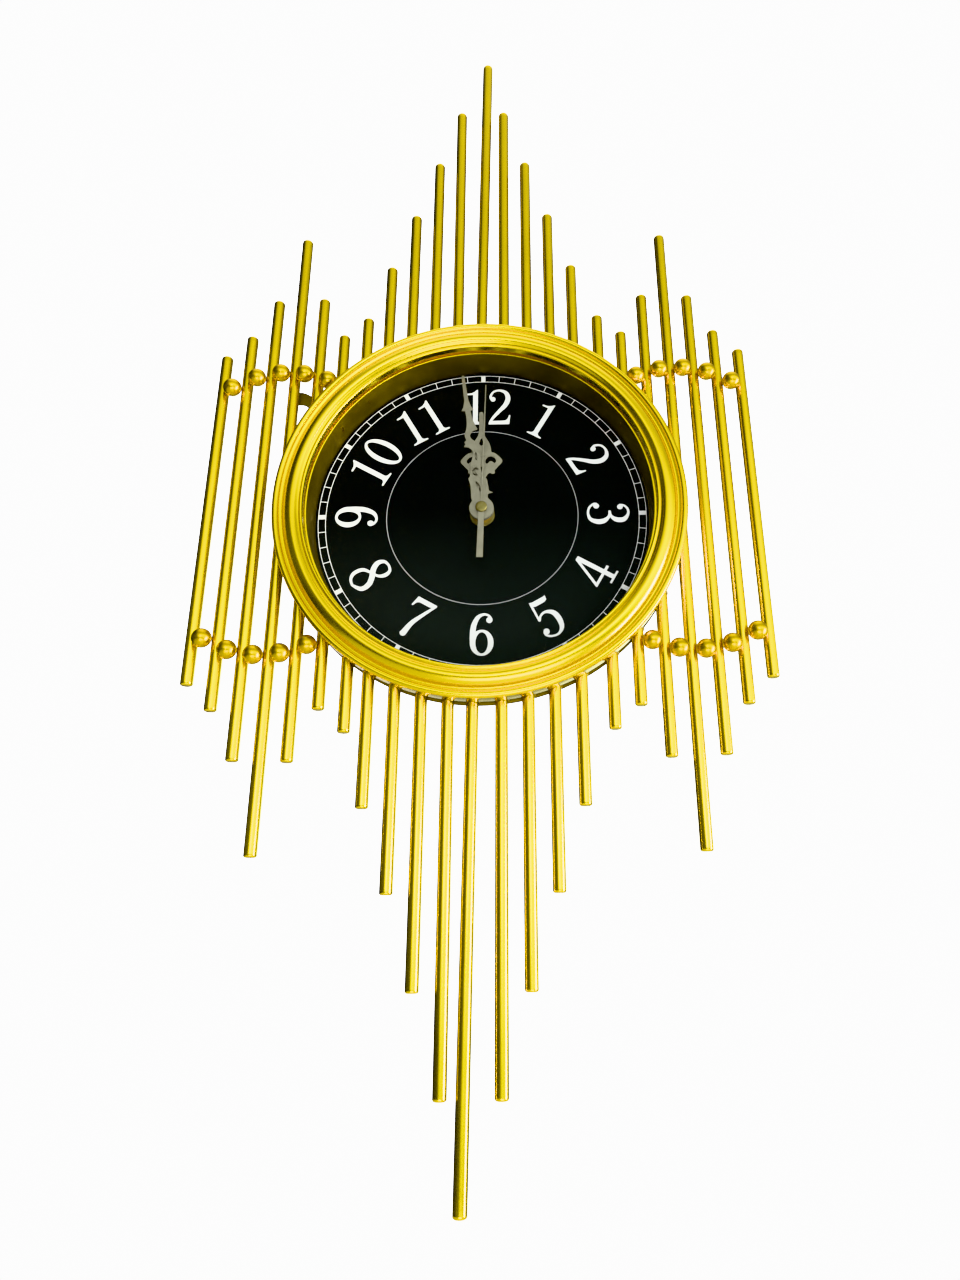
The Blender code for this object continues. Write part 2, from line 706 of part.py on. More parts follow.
def oval(x, z, half_width, half_height, sides=10):
    return [(x + half_width * a, z + half_height * b) for a, b in circle(1.0, sides)]


def hour_hand_shape():
    """Spurred foot, curls, two ringed lobes, a pointed arch and a plain bar."""
    foot = [(4.1, 11.0), (7.4, 12.2), (5.0, 13.5), (4.6, 16.4), (3.7, 21.6), (2.6, 23.6)]
    lobe = [(4.0, 25.6), (8.9, 26.7), (9.4, 29.6), (11.7, 32.2), (13.9, 35.5), (11.9, 38.8)]
    arch = [(9.0, 41.5), (6.7, 42.2), (5.6, 48.4), (4.3, 51.4), (2.7, 54.2), (1.8, 57.0)]
    bar = [(1.5, 60.0), (1.5, 72.0), (1.1, 73.2), (0.0, 73.7)]
    holes = [oval(0, 50.2, 1.3, 2.6), oval(0, 28.6, 0.9, 2.8), oval(0, 16.2, 1.3, 4.0)]
    holes += [oval(side * 6.2, 36.4, 3.2, 1.9) for side in (-1, 1)]
    return mirrored(boss_arc(4.4) + foot + lobe + arch + bar), holes


def minute_hand_shape():
    """A vine with thorns on either side that runs out into a barbed needle."""
    right = [(4.2, 12.0), (5.0, 21.6), (3.2, 29.0), (4.3, 39.0), (2.3, 47.0), (1.8, 49.8)]
    right += [(-0.8, 54.3), (0.5, 57.0), (4.7, 58.8), (3.6, 62.2), (2.1, 70.0), (1.9, 73.9)]
    right += [(3.9, 74.2), (2.6, 77.0), (1.5, 82.0), (1.0, 101.2), (0.0, 102.3)]
    left = [(-1.0, 101.2), (-1.5, 82.0), (-2.7, 77.0), (-4.3, 74.2), (-1.9, 73.9), (-1.7, 68.0)]
    left += [(-2.2, 62.2), (-4.5, 54.8), (-3.8, 51.4), (-5.9, 46.4), (-1.4, 43.9), (-0.4, 41.2)]
    left += [(-1.4, 37.6), (-3.8, 28.6), (-5.9, 22.2), (-5.5, 11.8)]
    boss_left = [(-x, z) for x, z in reversed(boss_arc(5.4)[1:])]
    holes = [oval(1.3, 37.4, 0.8, 3.0), oval(-0.6, 26.6, 1.3, 2.4), oval(-0.2, 14.8, 1.0, 4.2)]
    return boss_arc(4.2) + right + left + boss_left, holes


def second_hand_shape():
    """Thin pointer with a broad tail."""
    half = [(2.1, -35.4), (1.95, -2.0), (1.2, 2.0), (0.6, 10.0), (0.42, 92.6)]
    return half + [(-x, z) for x, z in reversed(half)]


def make_hands(axes, champagne):
    hour_bore, minute_bore = HOUR_TUBE_OUTER + GAP, MINUTE_TUBE_OUTER + GAP
    plates = (
        ("hour_hand", hour_hand_shape(), HOUR_HAND_Y, HOUR_ANGLE, hour_bore, axes["hour"]),
        ("minute_hand", minute_hand_shape(), MINUTE_HAND_Y, MINUTE_ANGLE, minute_bore, axes["minute"]),
    )
    for name, (outline, holes), back, angle, bore, axis in plates:
        builder = prism(outline, holes + [circle(bore, 16)], back - HAND_THICKNESS, back)
        hand = make_object(name, builder, champagne, parent=axis)
        hand.rotation_euler.y = math.radians(angle)
    builder = prism(second_hand_shape(), [], SECOND_HAND_Y, SECOND_HAND_Y + NEEDLE_THICKNESS)
    hand = make_object("second_hand", builder, champagne, parent=axes["seconds"])
    hand.rotation_euler.y = math.radians(SECOND_ANGLE)
    hub = make_tool("second_hub", disc(HUB_RADIUS, *HUB_Y, 24), parent=axes["seconds"])
    combine(hand, hub, "UNION")
    socket = make_tool("second_socket", disc(ARBOR + GAP, *SOCKET_Y, 12), parent=axes["seconds"])
    combine(hand, socket, "DIFFERENCE")


def make_axes():
    """An empty for every moving group, each on the axis it turns about."""
    return {
        "seconds": make_axis("seconds_axis", 0, 0),
        "centre": make_axis("centre_axis", 0, 0),
        "minute": make_axis("minute_axis", 0, 0),
        "hour_drive": make_axis("hour_drive_axis", 0, 0),
        "hour": make_axis("hour_axis", 0, 0),
        "motion_drive": make_axis("motion_drive_axis", *motion_place()),
        "motion": make_axis("motion_axis", *motion_place()),
        "third": make_axis("third_axis", *third_place()),
        "intermediate": make_axis("intermediate_axis", *intermediate_place()),
        "rotor": make_axis("rotor_axis", *rotor_place()),
    }


def main():
    clear_scene()
    gold = make_material("gold_paint", (0.78, 0.6, 0.02), 0.32, 0.85)
    dark_steel = make_material("black_paint", (0.03, 0.03, 0.03), 0.5, 0.0)
    enamel = make_material("dial_black", (0.005, 0.006, 0.006), 0.18, 0.0)
    clear = make_material("clear_glass", (0.95, 0.97, 0.97), 0.02, 0.0)
    champagne = make_material("champagne_metal", (0.6, 0.56, 0.44), 0.4, 0.6)
    brass = make_material("brass", (0.72, 0.55, 0.25), 0.3, 1.0)
    black = make_material("black_plastic", (0.02, 0.02, 0.02), 0.45, 0.0)
    white = make_material("white_plastic", (0.8, 0.8, 0.76), 0.4, 0.0)
    copper = make_material("copper_winding", (0.6, 0.28, 0.12), 0.4, 0.9)
    magnet = make_material("magnet", (0.25, 0.25, 0.26), 0.35, 0.9)
    cell_cover = make_material("battery_sleeve", (0.1, 0.22, 0.5), 0.35, 0.2)
    axes = make_axes()
    make_sunburst(gold)
    make_case(gold, dark_steel, enamel, clear)
    make_movement_case(black, white, cell_cover)
    make_coil(copper)
    make_going_train(axes, brass, white, magnet)
    make_motion_work(axes, brass, white)
    make_knob(axes["motion"], black)
    make_nut(brass)
    make_hands(axes, champagne)


main()
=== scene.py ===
"""Looks of the sunburst wall clock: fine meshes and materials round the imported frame.

Lengths are in millimetres and become metres through MM. +X is to the right, +Z up, and -Y points
out of the wall. Lights, floor and camera are placed in metres.
"""
import math
import random

import bmesh
import bpy
from mathutils import Matrix, Vector
from mathutils.geometry import tessellate_polygon


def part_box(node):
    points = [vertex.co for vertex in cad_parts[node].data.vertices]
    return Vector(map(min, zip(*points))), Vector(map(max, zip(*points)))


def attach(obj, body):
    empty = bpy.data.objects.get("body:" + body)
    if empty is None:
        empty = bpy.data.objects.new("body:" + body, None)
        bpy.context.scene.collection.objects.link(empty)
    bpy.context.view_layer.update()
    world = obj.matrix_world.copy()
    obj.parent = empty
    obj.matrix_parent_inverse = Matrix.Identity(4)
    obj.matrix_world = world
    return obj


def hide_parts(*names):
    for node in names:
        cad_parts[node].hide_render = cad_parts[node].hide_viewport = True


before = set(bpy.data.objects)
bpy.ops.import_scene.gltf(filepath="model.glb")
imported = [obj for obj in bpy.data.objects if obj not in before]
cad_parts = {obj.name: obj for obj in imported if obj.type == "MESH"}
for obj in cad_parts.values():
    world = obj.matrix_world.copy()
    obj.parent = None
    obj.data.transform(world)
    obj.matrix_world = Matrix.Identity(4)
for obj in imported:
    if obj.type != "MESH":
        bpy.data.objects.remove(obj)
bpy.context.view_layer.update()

MM = 0.001

# Rods, at the places the frame gives them
PITCH = 16.0
ROD_COUNT_EACH_SIDE = 11
FIRST_WHOLE_ROD = 7
LAST_SHIFTED_ROD = 4
SHIFTS = {"upper": -1.2, "lower": -3.0}
MIDDLE_SHIFT = -2.6
MIDDLE_SLOPE = math.tan(math.radians(0.76))
ROD_RADIUS = 3.8
ROD_Y = -35.7
SCOOP_RADIUS = 111.7
ROD_SIDES = 32
END_ROUND = 1.8
END_CHAMFER = 0.9

# Balls
BALL_RADIUS = 6.0
BALL_FORWARD = 6.1
BALL_TO_ROD = 7.9
BALL_ARC_TOP = 100.0
BALL_ARC_MIDDLE = 8.7
BALL_ARC_DROP = 2.1

# Case
BEZEL_SIDES = 192
DRUM_OUTER = 111.4
DRUM_INNER = 110.4
DRUM_FRONT_Y = -45.4
DRUM_BACK_Y = -1.5
RIM_OUTER = 113.8
LEDGE_INNER = 107.0
LEDGE_Y = -22.1
DIAL_RADIUS = 109.9
DIAL_BACK_Y = -22.4
DIAL_HOLE = 4.3
GLASS_Y = (-47.7, -45.7)
COVER_RADIUS = 112.2
COVER_THICKNESS = 1.2
COVER_SCREWS = 6
COVER_SCREW_RADIUS = 104.0
SCREW_HEAD_RADIUS = 2.75
KEYHOLE_Z = 78.0
KEYHOLE_RADIUS = 5.0
KEYHOLE_SLOT = 2.6
KEYHOLE_TOP = 92.0
WELD_SIZE = 1.9
TACK_SIZE = 1.6
BRAZE_SIZE = 1.8
RING_RADII = (124.0, 130.3)
RING_Y = (-31.6, -28.8)
RING_CHAMFER = 0.4
STRAP_THICKNESS = 1.6
WINDOW = (-27.0, 27.0, -30.0, -13.4)
KNOB_X = 12.6
KNOB_HOLE = 8.0

# Dial print
DIAL_FRONT_Y = -23.2
PRINT_HEIGHT = 0.06
PRINT_STEP = 0.012
PRINT_LIFT = 0.01
TWELVE_SHIFT = 3.0
TRACK_OUTER = 107.9
TRACK_INNER = 103.1
HAIR_CIRCLE = 63.0
TRACK_LINE = 0.42
MINUTE_MARK = 0.5
HOUR_MARK = 3.0
NUMERAL_RADIUS = 82.8
NUMERAL_HEIGHT = 28.0
DIGIT_GAP = 0.60

# Hands
BOSS_RADIUS = 8.0
HOUR_BORE = 2.6
MINUTE_BORE = 1.6
HAND_ANGLES = {"hour": -0.6, "minute": -7.6, "second": 1.5}
SECOND_Y = (-35.4, -34.95)

# Movement
BATTERY_PLACE = (0.0, -13.5, -21.7)
BATTERY_RADIUS = 7.1
BATTERY_SHOULDER = 23.3
SPRING_TURNS = 3
SPRING_STEPS = 28
SPRING_X = (-26.4, -25.3)
SPRING_RADII = (4.6, 2.2)
CONTACT_X = 26.6
NUT_CORNER = 6.5
NUT_Y = (-26.4, -23.85)
THREAD_PITCH = 0.5
THREAD_FRONT_Y = -28.5
KNOB_RADIUS = 5.72
KNOB_RIB = 0.26
KNOB_RIBS = 18
KNOB_Y = (-5.9, -2.05)

# Studio, in metres, watts and degrees
SEEN_STRENGTH = 3.2
ROOM_STRENGTH = 3.2
FLOOR_HALF = 4.0
FLOOR_Z = -1.8
LENS = 25.22
LENS_SHIFT = (-0.0408, -0.0310)
CAMERA_PLACE = (0.03233, -0.55529, -0.26206)
CAMERA_PITCH = 20.741
CAMERA_YAW = 0.031
CAMERA_ROLL = -0.790

STEEL = "gold_paint"


def on_body(obj, body, slot=None, *nodes):
    """obj rides on a body and stands for CAD nodes, which it hides; the slot argument is not used."""
    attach(obj, body)
    if nodes:
        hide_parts(*nodes)
    return obj


# ---- mesh helpers

def new_object(name, bm, material, smooth=True, angle=35.0):
    bmesh.ops.recalc_face_normals(bm, faces=bm.faces)
    mesh = bpy.data.meshes.new(name)
    bm.to_mesh(mesh)
    bm.free()
    if smooth:
        mesh.shade_smooth()
        mesh.set_sharp_from_angle(angle=math.radians(angle))
    mesh.materials.append(material)
    obj = bpy.data.objects.new(name, mesh)
    bpy.context.scene.collection.objects.link(obj)
    return obj


def mm(x, y, z):
    return Vector((x, y, z)) * MM


def ellipse(x, z, half_width, half_height, sides):
    turn = [2 * math.pi * i / sides for i in range(sides)]
    return [(x + half_width * math.sin(a), z + half_height * math.cos(a)) for a in turn]


def turned_points(points, degrees):
    a = math.radians(degrees)
    return [(x * math.cos(a) + z * math.sin(a), z * math.cos(a) - x * math.sin(a)) for x, z in points]


def join_rings(bm, low, high, sides):
    """Faces between two rings of vertices; a ring of one vertex is a pole."""
    for i in range(sides):
        j = (i + 1) % sides
        corners = [low[i % len(low)], low[j % len(low)], high[j % len(high)], high[i % len(high)]]
        bm.faces.new(list(dict.fromkeys(corners)))


def lathe(bm, profile, sides, x=0.0, z=0.0):
    """Closed profile of (radius, y) points turned about the line through (x, z) along Y."""
    rings = []
    for radius, y in profile:
        if radius < 1e-6:
            rings.append([bm.verts.new(mm(x, y, z))])
            continue
        around = ellipse(x, z, radius, radius, sides)
        rings.append([bm.verts.new(mm(px, y, pz)) for px, pz in around])
    for low, high in zip(rings, rings[1:] + rings[:1]):
        if len(low) > 1 or len(high) > 1:
            join_rings(bm, low, high, sides)


def plate(bm, outline, holes, front, back):
    """Flat plate with an outline and holes, (x, z) points in mm, between two y values."""
    loops = [list(outline)] + [list(h) for h in holes]
    flat = [p for loop in loops for p in loop]
    triangles = tessellate_polygon([[Vector((p[0], p[1], 0.0)) for p in loop] for loop in loops])
    fronts = [bm.verts.new(mm(p[0], front, p[1])) for p in flat]
    backs = [bm.verts.new(mm(p[0], back, p[1])) for p in flat]
    for a, b, c in triangles:
        bm.faces.new((fronts[a], fronts[b], fronts[c]))
        bm.faces.new((backs[c], backs[b], backs[a]))
    start = 0
    for loop in loops:
        count = len(loop)
        for i in range(count):
            a, b = start + i, start + (i + 1) % count
            bm.faces.new((fronts[a], fronts[b], backs[b], backs[a]))
        start += count


def spline(points, steps, closed=False):
    """Catmull-Rom curve through points of any dimension."""
    count = len(points)
    spans = count if closed else count - 1
    curve = []
    for i in range(spans):
        if closed:
            p0, p1, p2, p3 = (points[(i + k - 1) % count] for k in range(4))
        else:
            p0 = points[max(i - 1, 0)]
            p1, p2 = points[i], points[i + 1]
            p3 = points[min(i + 2, count - 1)]
        for s in range(steps):
            t = s / steps
            curve.append(tuple(
                0.5 * (2 * b + (c - a) * t + (2 * a - 5 * b + 4 * c - d) * t * t
                       + (3 * b - a - 3 * c + d) * t ** 3)
                for a, b, c, d in zip(p0, p1, p2, p3)))
    if not closed:
        curve.append(tuple(points[-1]))
    return curve


def bevelled(obj, width, segments, limit):
    modifier = obj.modifiers.new("edge", "BEVEL")
    modifier.width = width * MM
    modifier.segments = segments
    modifier.limit_method = "ANGLE"
    modifier.angle_limit = math.radians(limit)
    return obj


def turned_piece(name, profile, sides, material, angle):
    """A new object from a profile turned about the axis of the dial."""
    bm = bmesh.new()
    lathe(bm, profile, sides)
    return new_object(name, bm, material, angle=angle)


def flat_piece(name, outline, holes, front, back, material, edge, segments=2, limit=40.0, angle=30.0):
    """A new flat object with holes, its edges bevelled."""
    bm = bmesh.new()
    plate(bm, outline, holes, front, back)
    return bevelled(new_object(name, bm, material, angle=angle), edge, segments, limit)


# ---- materials

def node_material(name):
    material = bpy.data.materials.new(name)
    material.use_nodes = True
    nodes, links = material.node_tree.nodes, material.node_tree.links
    return material, nodes, links, nodes["Principled BSDF"]


def noise(nodes, links, scale, detail, stretch=None):
    coordinates = nodes.new("ShaderNodeTexCoord")
    texture = nodes.new("ShaderNodeTexNoise")
    texture.inputs["Scale"].default_value = scale
    texture.inputs["Detail"].default_value = detail
    if stretch:
        mapping = nodes.new("ShaderNodeMapping")
        mapping.inputs["Scale"].default_value = stretch
        links.new(coordinates.outputs["Object"], mapping.inputs["Vector"])
        links.new(mapping.outputs["Vector"], texture.inputs["Vector"])
    else:
        links.new(coordinates.outputs["Object"], texture.inputs["Vector"])
    return texture.outputs["Fac"]


def ramp(nodes, links, source, stops):
    """A colour ramp; each stop is (position, colour)."""
    node = nodes.new("ShaderNodeValToRGB")
    elements = node.color_ramp.elements
    while len(elements) < len(stops):
        elements.new(0.5)
    for element, (position, colour) in zip(elements, stops):
        element.position = position
        element.color = (*colour, 1.0)
    links.new(source, node.inputs["Fac"])
    return node.outputs["Color"]


def grey(value):
    return (value, value, value)


def bump(nodes, links, shader, height, strength, distance):
    node = nodes.new("ShaderNodeBump")
    node.inputs["Strength"].default_value = strength
    node.inputs["Distance"].default_value = distance
    links.new(height, node.inputs["Height"])
    links.new(node.outputs["Normal"], shader.inputs["Normal"])


def mixed(nodes, links, factor, first, second, blend="MIX"):
    """Two colours mixed. Each of the three inputs is a node's output or a plain value."""
    mix = nodes.new("ShaderNodeMix")
    mix.data_type = "RGBA"
    mix.blend_type = blend
    for name, source in (("Factor", factor), ("A", first), ("B", second)):
        if isinstance(source, bpy.types.NodeSocket):
            links.new(source, mix.inputs[name])
        else:
            mix.inputs[name].default_value = source
    return mix.outputs["Result"]


def axes(nodes, links, kind):
    """The X, Y and Z outputs of a texture coordinate."""
    coordinates = nodes.new("ShaderNodeTexCoord")
    parts = nodes.new("ShaderNodeSeparateXYZ")
    links.new(coordinates.outputs[kind], parts.inputs["Vector"])
    return parts.outputs


def worn_edges(nodes, links, base, worn):
    """Mixes base towards worn along convex edges."""
    geometry = nodes.new("ShaderNodeNewGeometry")
    edge = ramp(nodes, links, geometry.outputs["Pointiness"], [(0.56, grey(0.0)), (0.70, grey(1.0))])
    return mixed(nodes, links, edge, base, (*worn, 1.0))


def finish_material(name, tones, roughness, metallic=0.0, scale=60.0, bump_height=0.00002,
                    worn=None, grain_scale=900.0, coat=0.0, stretch=None):
    """Two-tone painted or moulded surface with fine grain, roughness variation and worn edges."""
    material, nodes, links, shader = node_material(name)
    clouds = noise(nodes, links, scale, 4.0, stretch)
    colour = ramp(nodes, links, clouds, [(0.3, tones[0]), (0.7, tones[1])])
    if worn:
        colour = worn_edges(nodes, links, colour, worn)
    links.new(colour, shader.inputs["Base Color"])
    rough = ramp(nodes, links, noise(nodes, links, scale * 2.5, 5.0, stretch),
                 [(0.3, grey(roughness[0])), (0.7, grey(roughness[1]))])
    links.new(rough, shader.inputs["Roughness"])
    shader.inputs["Metallic"].default_value = metallic
    shader.inputs["Coat Weight"].default_value = coat
    shader.inputs["Coat Roughness"].default_value = 0.22
    bump(nodes, links, shader, noise(nodes, links, grain_scale, 2.0, stretch), 0.3, bump_height)
    return material


FINISHES = {
    "gold": dict(name="gold_lacquer", tones=[(0.77, 0.575, 0.003), (0.81, 0.61, 0.006)],
        roughness=(0.21, 0.27), metallic=1.0, scale=12.0, bump_height=0.0000015,
        worn=(0.90, 0.72, 0.06), coat=0.25),
    # Painted shade: the rods' gold paint made darker for the balls and their braze beads, standing in for
    # the shade round the balls.
    "ball": dict(name="gold_ball_painted_shade", tones=[(0.56, 0.385, 0.002), (0.62, 0.43, 0.004)],
        roughness=(0.30, 0.34), metallic=1.0, scale=14.0, bump_height=0.0000015,
        worn=(0.80, 0.62, 0.04), coat=0.15),
    "weld": dict(name="gold_weld", tones=[(0.42, 0.27, 0.002), (0.80, 0.56, 0.01)],
        roughness=(0.28, 0.46), metallic=1.0, scale=500.0, bump_height=0.00012),
    # Painted shade: the same gold paint made much darker and olive, for the drum's inside, the support ring
    # and the strap, which lie in shade.
    "inner": dict(name="gold_in_painted_shade", tones=[(0.10, 0.068, 0.001), (0.17, 0.12, 0.002)],
        roughness=(0.42, 0.55), metallic=1.0, scale=30.0, bump_height=0.00001),
    "black": dict(name="black_powder_coat", tones=[(0.040, 0.040, 0.041), (0.055, 0.055, 0.057)],
        roughness=(0.42, 0.62), scale=120.0, bump_height=0.00012, worn=(0.16, 0.16, 0.15),
        grain_scale=700.0),
    "plastic": dict(name="black_plastic", tones=[(0.036, 0.036, 0.037), (0.050, 0.050, 0.052)],
        roughness=(0.34, 0.50), scale=90.0, bump_height=0.00005, worn=(0.10, 0.10, 0.10),
        grain_scale=1100.0),
    "white_plastic": dict(name="white_acetal", tones=[(0.72, 0.72, 0.67), (0.82, 0.82, 0.78)],
        roughness=(0.34, 0.48), scale=200.0, bump_height=0.00003, grain_scale=1500.0),
    "brass": dict(name="turned_brass", tones=[(0.66, 0.46, 0.14), (0.80, 0.60, 0.24)],
        roughness=(0.22, 0.36), metallic=1.0, scale=300.0, bump_height=0.00003,
        worn=(0.95, 0.82, 0.48), stretch=(1.0, 8.0, 1.0)),
    "dark_brass": dict(name="dull_brass", tones=[(0.18, 0.16, 0.06), (0.25, 0.22, 0.09)],
        roughness=(0.50, 0.60), metallic=1.0, scale=300.0, bump_height=0.00001,
        worn=(0.7, 0.58, 0.28)),
    "champagne": dict(name="hand_champagne", tones=[(0.215, 0.205, 0.150), (0.262, 0.250, 0.185)],
        roughness=(0.40, 0.52), metallic=0.65, scale=150.0, bump_height=0.00003,
        worn=(0.28, 0.27, 0.20), grain_scale=1600.0),
    "copper": dict(name="enamelled_copper", tones=[(0.45, 0.17, 0.05), (0.62, 0.27, 0.09)],
        roughness=(0.25, 0.4), metallic=1.0, scale=400.0, bump_height=0.0001,
        stretch=(14.0, 1.0, 1.0)),
    "magnet": dict(name="sintered_magnet", tones=[(0.12, 0.12, 0.13), (0.20, 0.20, 0.21)],
        roughness=(0.45, 0.62), metallic=0.8, scale=500.0, bump_height=0.0001),
    "sleeve": dict(name="battery_sleeve", tones=[(0.02, 0.10, 0.30), (0.03, 0.13, 0.36)],
        roughness=(0.22, 0.32), coat=0.6),
    "tin": dict(name="tinned_steel", tones=[(0.52, 0.52, 0.50), (0.66, 0.66, 0.64)],
        roughness=(0.24, 0.38), metallic=1.0, scale=200.0, worn=(0.8, 0.8, 0.78)),
    "ink": dict(name="white_ink", tones=[(0.93, 0.94, 0.94), (0.98, 0.98, 0.97)],
        roughness=(0.45, 0.55), scale=180.0, bump_height=0.000004),
    "floor": dict(name="pale_floor", tones=[(0.80, 0.79, 0.77), (0.84, 0.83, 0.81)],
        roughness=(0.6, 0.75), scale=2.0, grain_scale=120.0)}


def make_materials():
    materials = {key: finish_material(**finish) for key, finish in FINISHES.items()}
    materials["enamel"] = make_enamel()
    materials["glass"] = make_glass()
    return materials


def make_enamel():
    """Gloss black enamel: faint clouds, slight orange peel, and a painted greenish sheen low on the dial
    that stands in for a reflection.
    """
    material, nodes, links, shader = node_material("black_enamel")
    clouds = noise(nodes, links, 9.0, 5.0)
    deep = ramp(nodes, links, clouds, [(0.35, (0.0042, 0.0044, 0.0044)), (0.7, (0.0060, 0.0063, 0.0062))])
    # Painted reflection: the base colour turns lighter and greener towards the bottom of the dial, standing
    # in for a sheen of the room.
    span = nodes.new("ShaderNodeMapRange")
    span.inputs["From Min"].default_value = 0.005
    span.inputs["From Max"].default_value = -0.09
    links.new(axes(nodes, links, "Object")["Z"], span.inputs["Value"])
    painted_sheen = mixed(nodes, links, span.outputs["Result"], deep, (0.027, 0.030, 0.028, 1.0))
    links.new(painted_sheen, shader.inputs["Base Color"])
    links.new(ramp(nodes, links, noise(nodes, links, 40.0, 6.0), [(0.3, grey(0.16)), (0.7, grey(0.24))]),
              shader.inputs["Roughness"])
    shader.inputs["Specular IOR Level"].default_value = 0.008
    bump(nodes, links, shader, noise(nodes, links, 160.0, 3.0), 0.2, 0.000004)
    return material


def make_glass():
    """Clear float glass: mostly transparent, glossy, with faint smears."""
    material, nodes, links, shader = node_material("clear_float_glass")
    smears = noise(nodes, links, 18.0, 6.0, (1.0, 1.0, 2.2))
    links.new(ramp(nodes, links, smears, [(0.4, grey(0.0)), (0.75, grey(0.05))]), shader.inputs["Roughness"])
    links.new(ramp(nodes, links, smears, [(0.3, (0.90, 0.97, 0.94)), (0.8, (0.97, 1.0, 0.98))]),
              shader.inputs["Base Color"])
    shader.inputs["Metallic"].default_value = 1.0
    shader.inputs["Alpha"].default_value = 0.0006
    return material


# ---- stage, light, camera

def from_minus_one(nodes, links, source):
    """Part of a direction, from -1 to 1, as a share from 0 to 1."""
    node = nodes.new("ShaderNodeMapRange")
    node.inputs["From Min"].default_value = -1.0
    links.new(source, node.inputs["Value"])
    return node.outputs["Result"]


def multiplied(nodes, links, first, second):
    return mixed(nodes, links, 1.0, first, second, "MULTIPLY")


def room_tone(nodes, links):
    """How bright the room is in each direction: dark on the left and behind, brightest low in front."""
    parts = axes(nodes, links, "Generated")
    across, depth, height = (from_minus_one(nodes, links, parts[axis]) for axis in "XYZ")
    sides = ramp(nodes, links, across, [(0.0, grey(0.02)), (0.20, grey(0.04)), (0.32, grey(0.62)),
                                        (0.78, grey(0.84)), (1.0, grey(0.28))])
    low_sides = ramp(nodes, links, across, [(0.0, grey(0.04)), (0.28, grey(0.07)), (0.36, grey(0.55)),
                                            (0.50, (0.66, 0.75, 0.70)), (0.66, (0.88, 1.0, 0.93)),
                                            (0.85, (0.88, 1.0, 0.93)), (1.0, grey(0.40))])
    levels = ramp(nodes, links, height, [(0.0, grey(0.04)), (0.34, grey(0.08)), (0.44, grey(0.26)),
                                         (0.52, grey(0.80)), (0.62, grey(1.0)), (0.70, grey(0.66)),
                                         (0.79, grey(0.30)), (0.90, grey(0.30)), (1.0, grey(1.0))])
    band = ramp(nodes, links, depth, [(0.0, grey(1.0)), (0.58, grey(1.0)), (0.68, grey(0.22)),
                                      (0.86, grey(0.22)), (0.95, grey(0.9))])
    high = ramp(nodes, links, height, [(0.60, grey(0.0)), (0.74, grey(1.0))])
    both = mixed(nodes, links, high, low_sides, sides)
    return multiplied(nodes, links, multiplied(nodes, links, both, levels), band)


def make_stage(m):
    """A studio that is plain white to the eye and lights the clock with the room's own tones."""
    world = bpy.data.worlds.new("studio")
    bpy.context.scene.world = world
    world.use_nodes = True
    nodes, links = world.node_tree.nodes, world.node_tree.links
    seen = nodes["Background"]
    seen.inputs["Color"].default_value = (1.0, 1.0, 1.0, 1.0)
    seen.inputs["Strength"].default_value = SEEN_STRENGTH
    room = nodes.new("ShaderNodeBackground")
    links.new(room_tone(nodes, links), room.inputs["Color"])
    room.inputs["Strength"].default_value = ROOM_STRENGTH
    mix = nodes.new("ShaderNodeMixShader")
    path = nodes.new("ShaderNodeLightPath")
    links.new(path.outputs["Is Camera Ray"], mix.inputs["Fac"])
    links.new(room.outputs["Background"], mix.inputs[1])
    links.new(seen.outputs["Background"], mix.inputs[2])
    links.new(mix.outputs["Shader"], nodes["World Output"].inputs["Surface"])
    bm = bmesh.new()
    bmesh.ops.create_grid(bm, x_segments=2, y_segments=2, size=FLOOR_HALF)
    bmesh.ops.translate(bm, verts=bm.verts, vec=(0.0, 0.0, FLOOR_Z))
    floor = new_object("floor", bm, m["floor"], smooth=False)


def area_light(name, place, aim, width, height, power, colour=(1.0, 1.0, 1.0)):
    """A rectangular lamp at a place, turned to face the point aim."""
    light = bpy.data.lights.new(name, "AREA")
    light.shape = "RECTANGLE"
    light.size = width
    light.size_y = height
    light.energy = power
    light.color = colour
    obj = bpy.data.objects.new(name, light)
    obj.location = place
    direction = Vector(aim) - Vector(place)
    obj.rotation_mode = "QUATERNION"
    obj.rotation_quaternion = direction.to_track_quat("-Z", "Y")
    bpy.context.scene.collection.objects.link(obj)


def make_lights():
    area_light("front_panel", (0.25, -2.6, 0.1), (0.0, 0.0, 0.0), 0.9, 0.6, 9.0)
    area_light("key_right", (1.7, -0.45, -0.5), (0.0, 0.0, -0.1), 0.3, 1.1, 60.0, (1.0, 0.99, 0.97))
    area_light("low_front", (0.3, -1.5, -1.25), (0.0, 0.0, 0.0), 1.2, 0.6, 14.0)


def make_camera():
    """The viewpoint is below the dial, a little right of its axis, looking up."""
    data = bpy.data.cameras.new("camera")
    data.sensor_width = 36.0
    data.lens = LENS
    data.shift_x, data.shift_y = LENS_SHIFT
    data.clip_start = 0.01
    data.clip_end = 50.0
    camera = bpy.data.objects.new("camera", data)
    pitch, yaw, roll = (math.radians(angle) for angle in (CAMERA_PITCH, CAMERA_YAW, CAMERA_ROLL))
    forward = Vector((-math.sin(yaw) * math.cos(pitch), math.cos(yaw) * math.cos(pitch), math.sin(pitch)))
    level = Vector((math.cos(yaw), math.sin(yaw), 0.0))
    above = level.cross(forward)
    right = level * math.cos(roll) + above * math.sin(roll)
    up = above * math.cos(roll) - level * math.sin(roll)
    turn = Matrix((right, up, -forward)).transposed().to_4x4()
    camera.matrix_world = Matrix.Translation(CAMERA_PLACE) @ turn
    bpy.context.scene.collection.objects.link(camera)
    bpy.context.scene.camera = camera


# ---- rods and balls

def drum_edge(x):
    """Height of the drum's outside over a place x from the middle."""
    return math.sqrt(max(SCOOP_RADIUS ** 2 - x * x, 0.0))


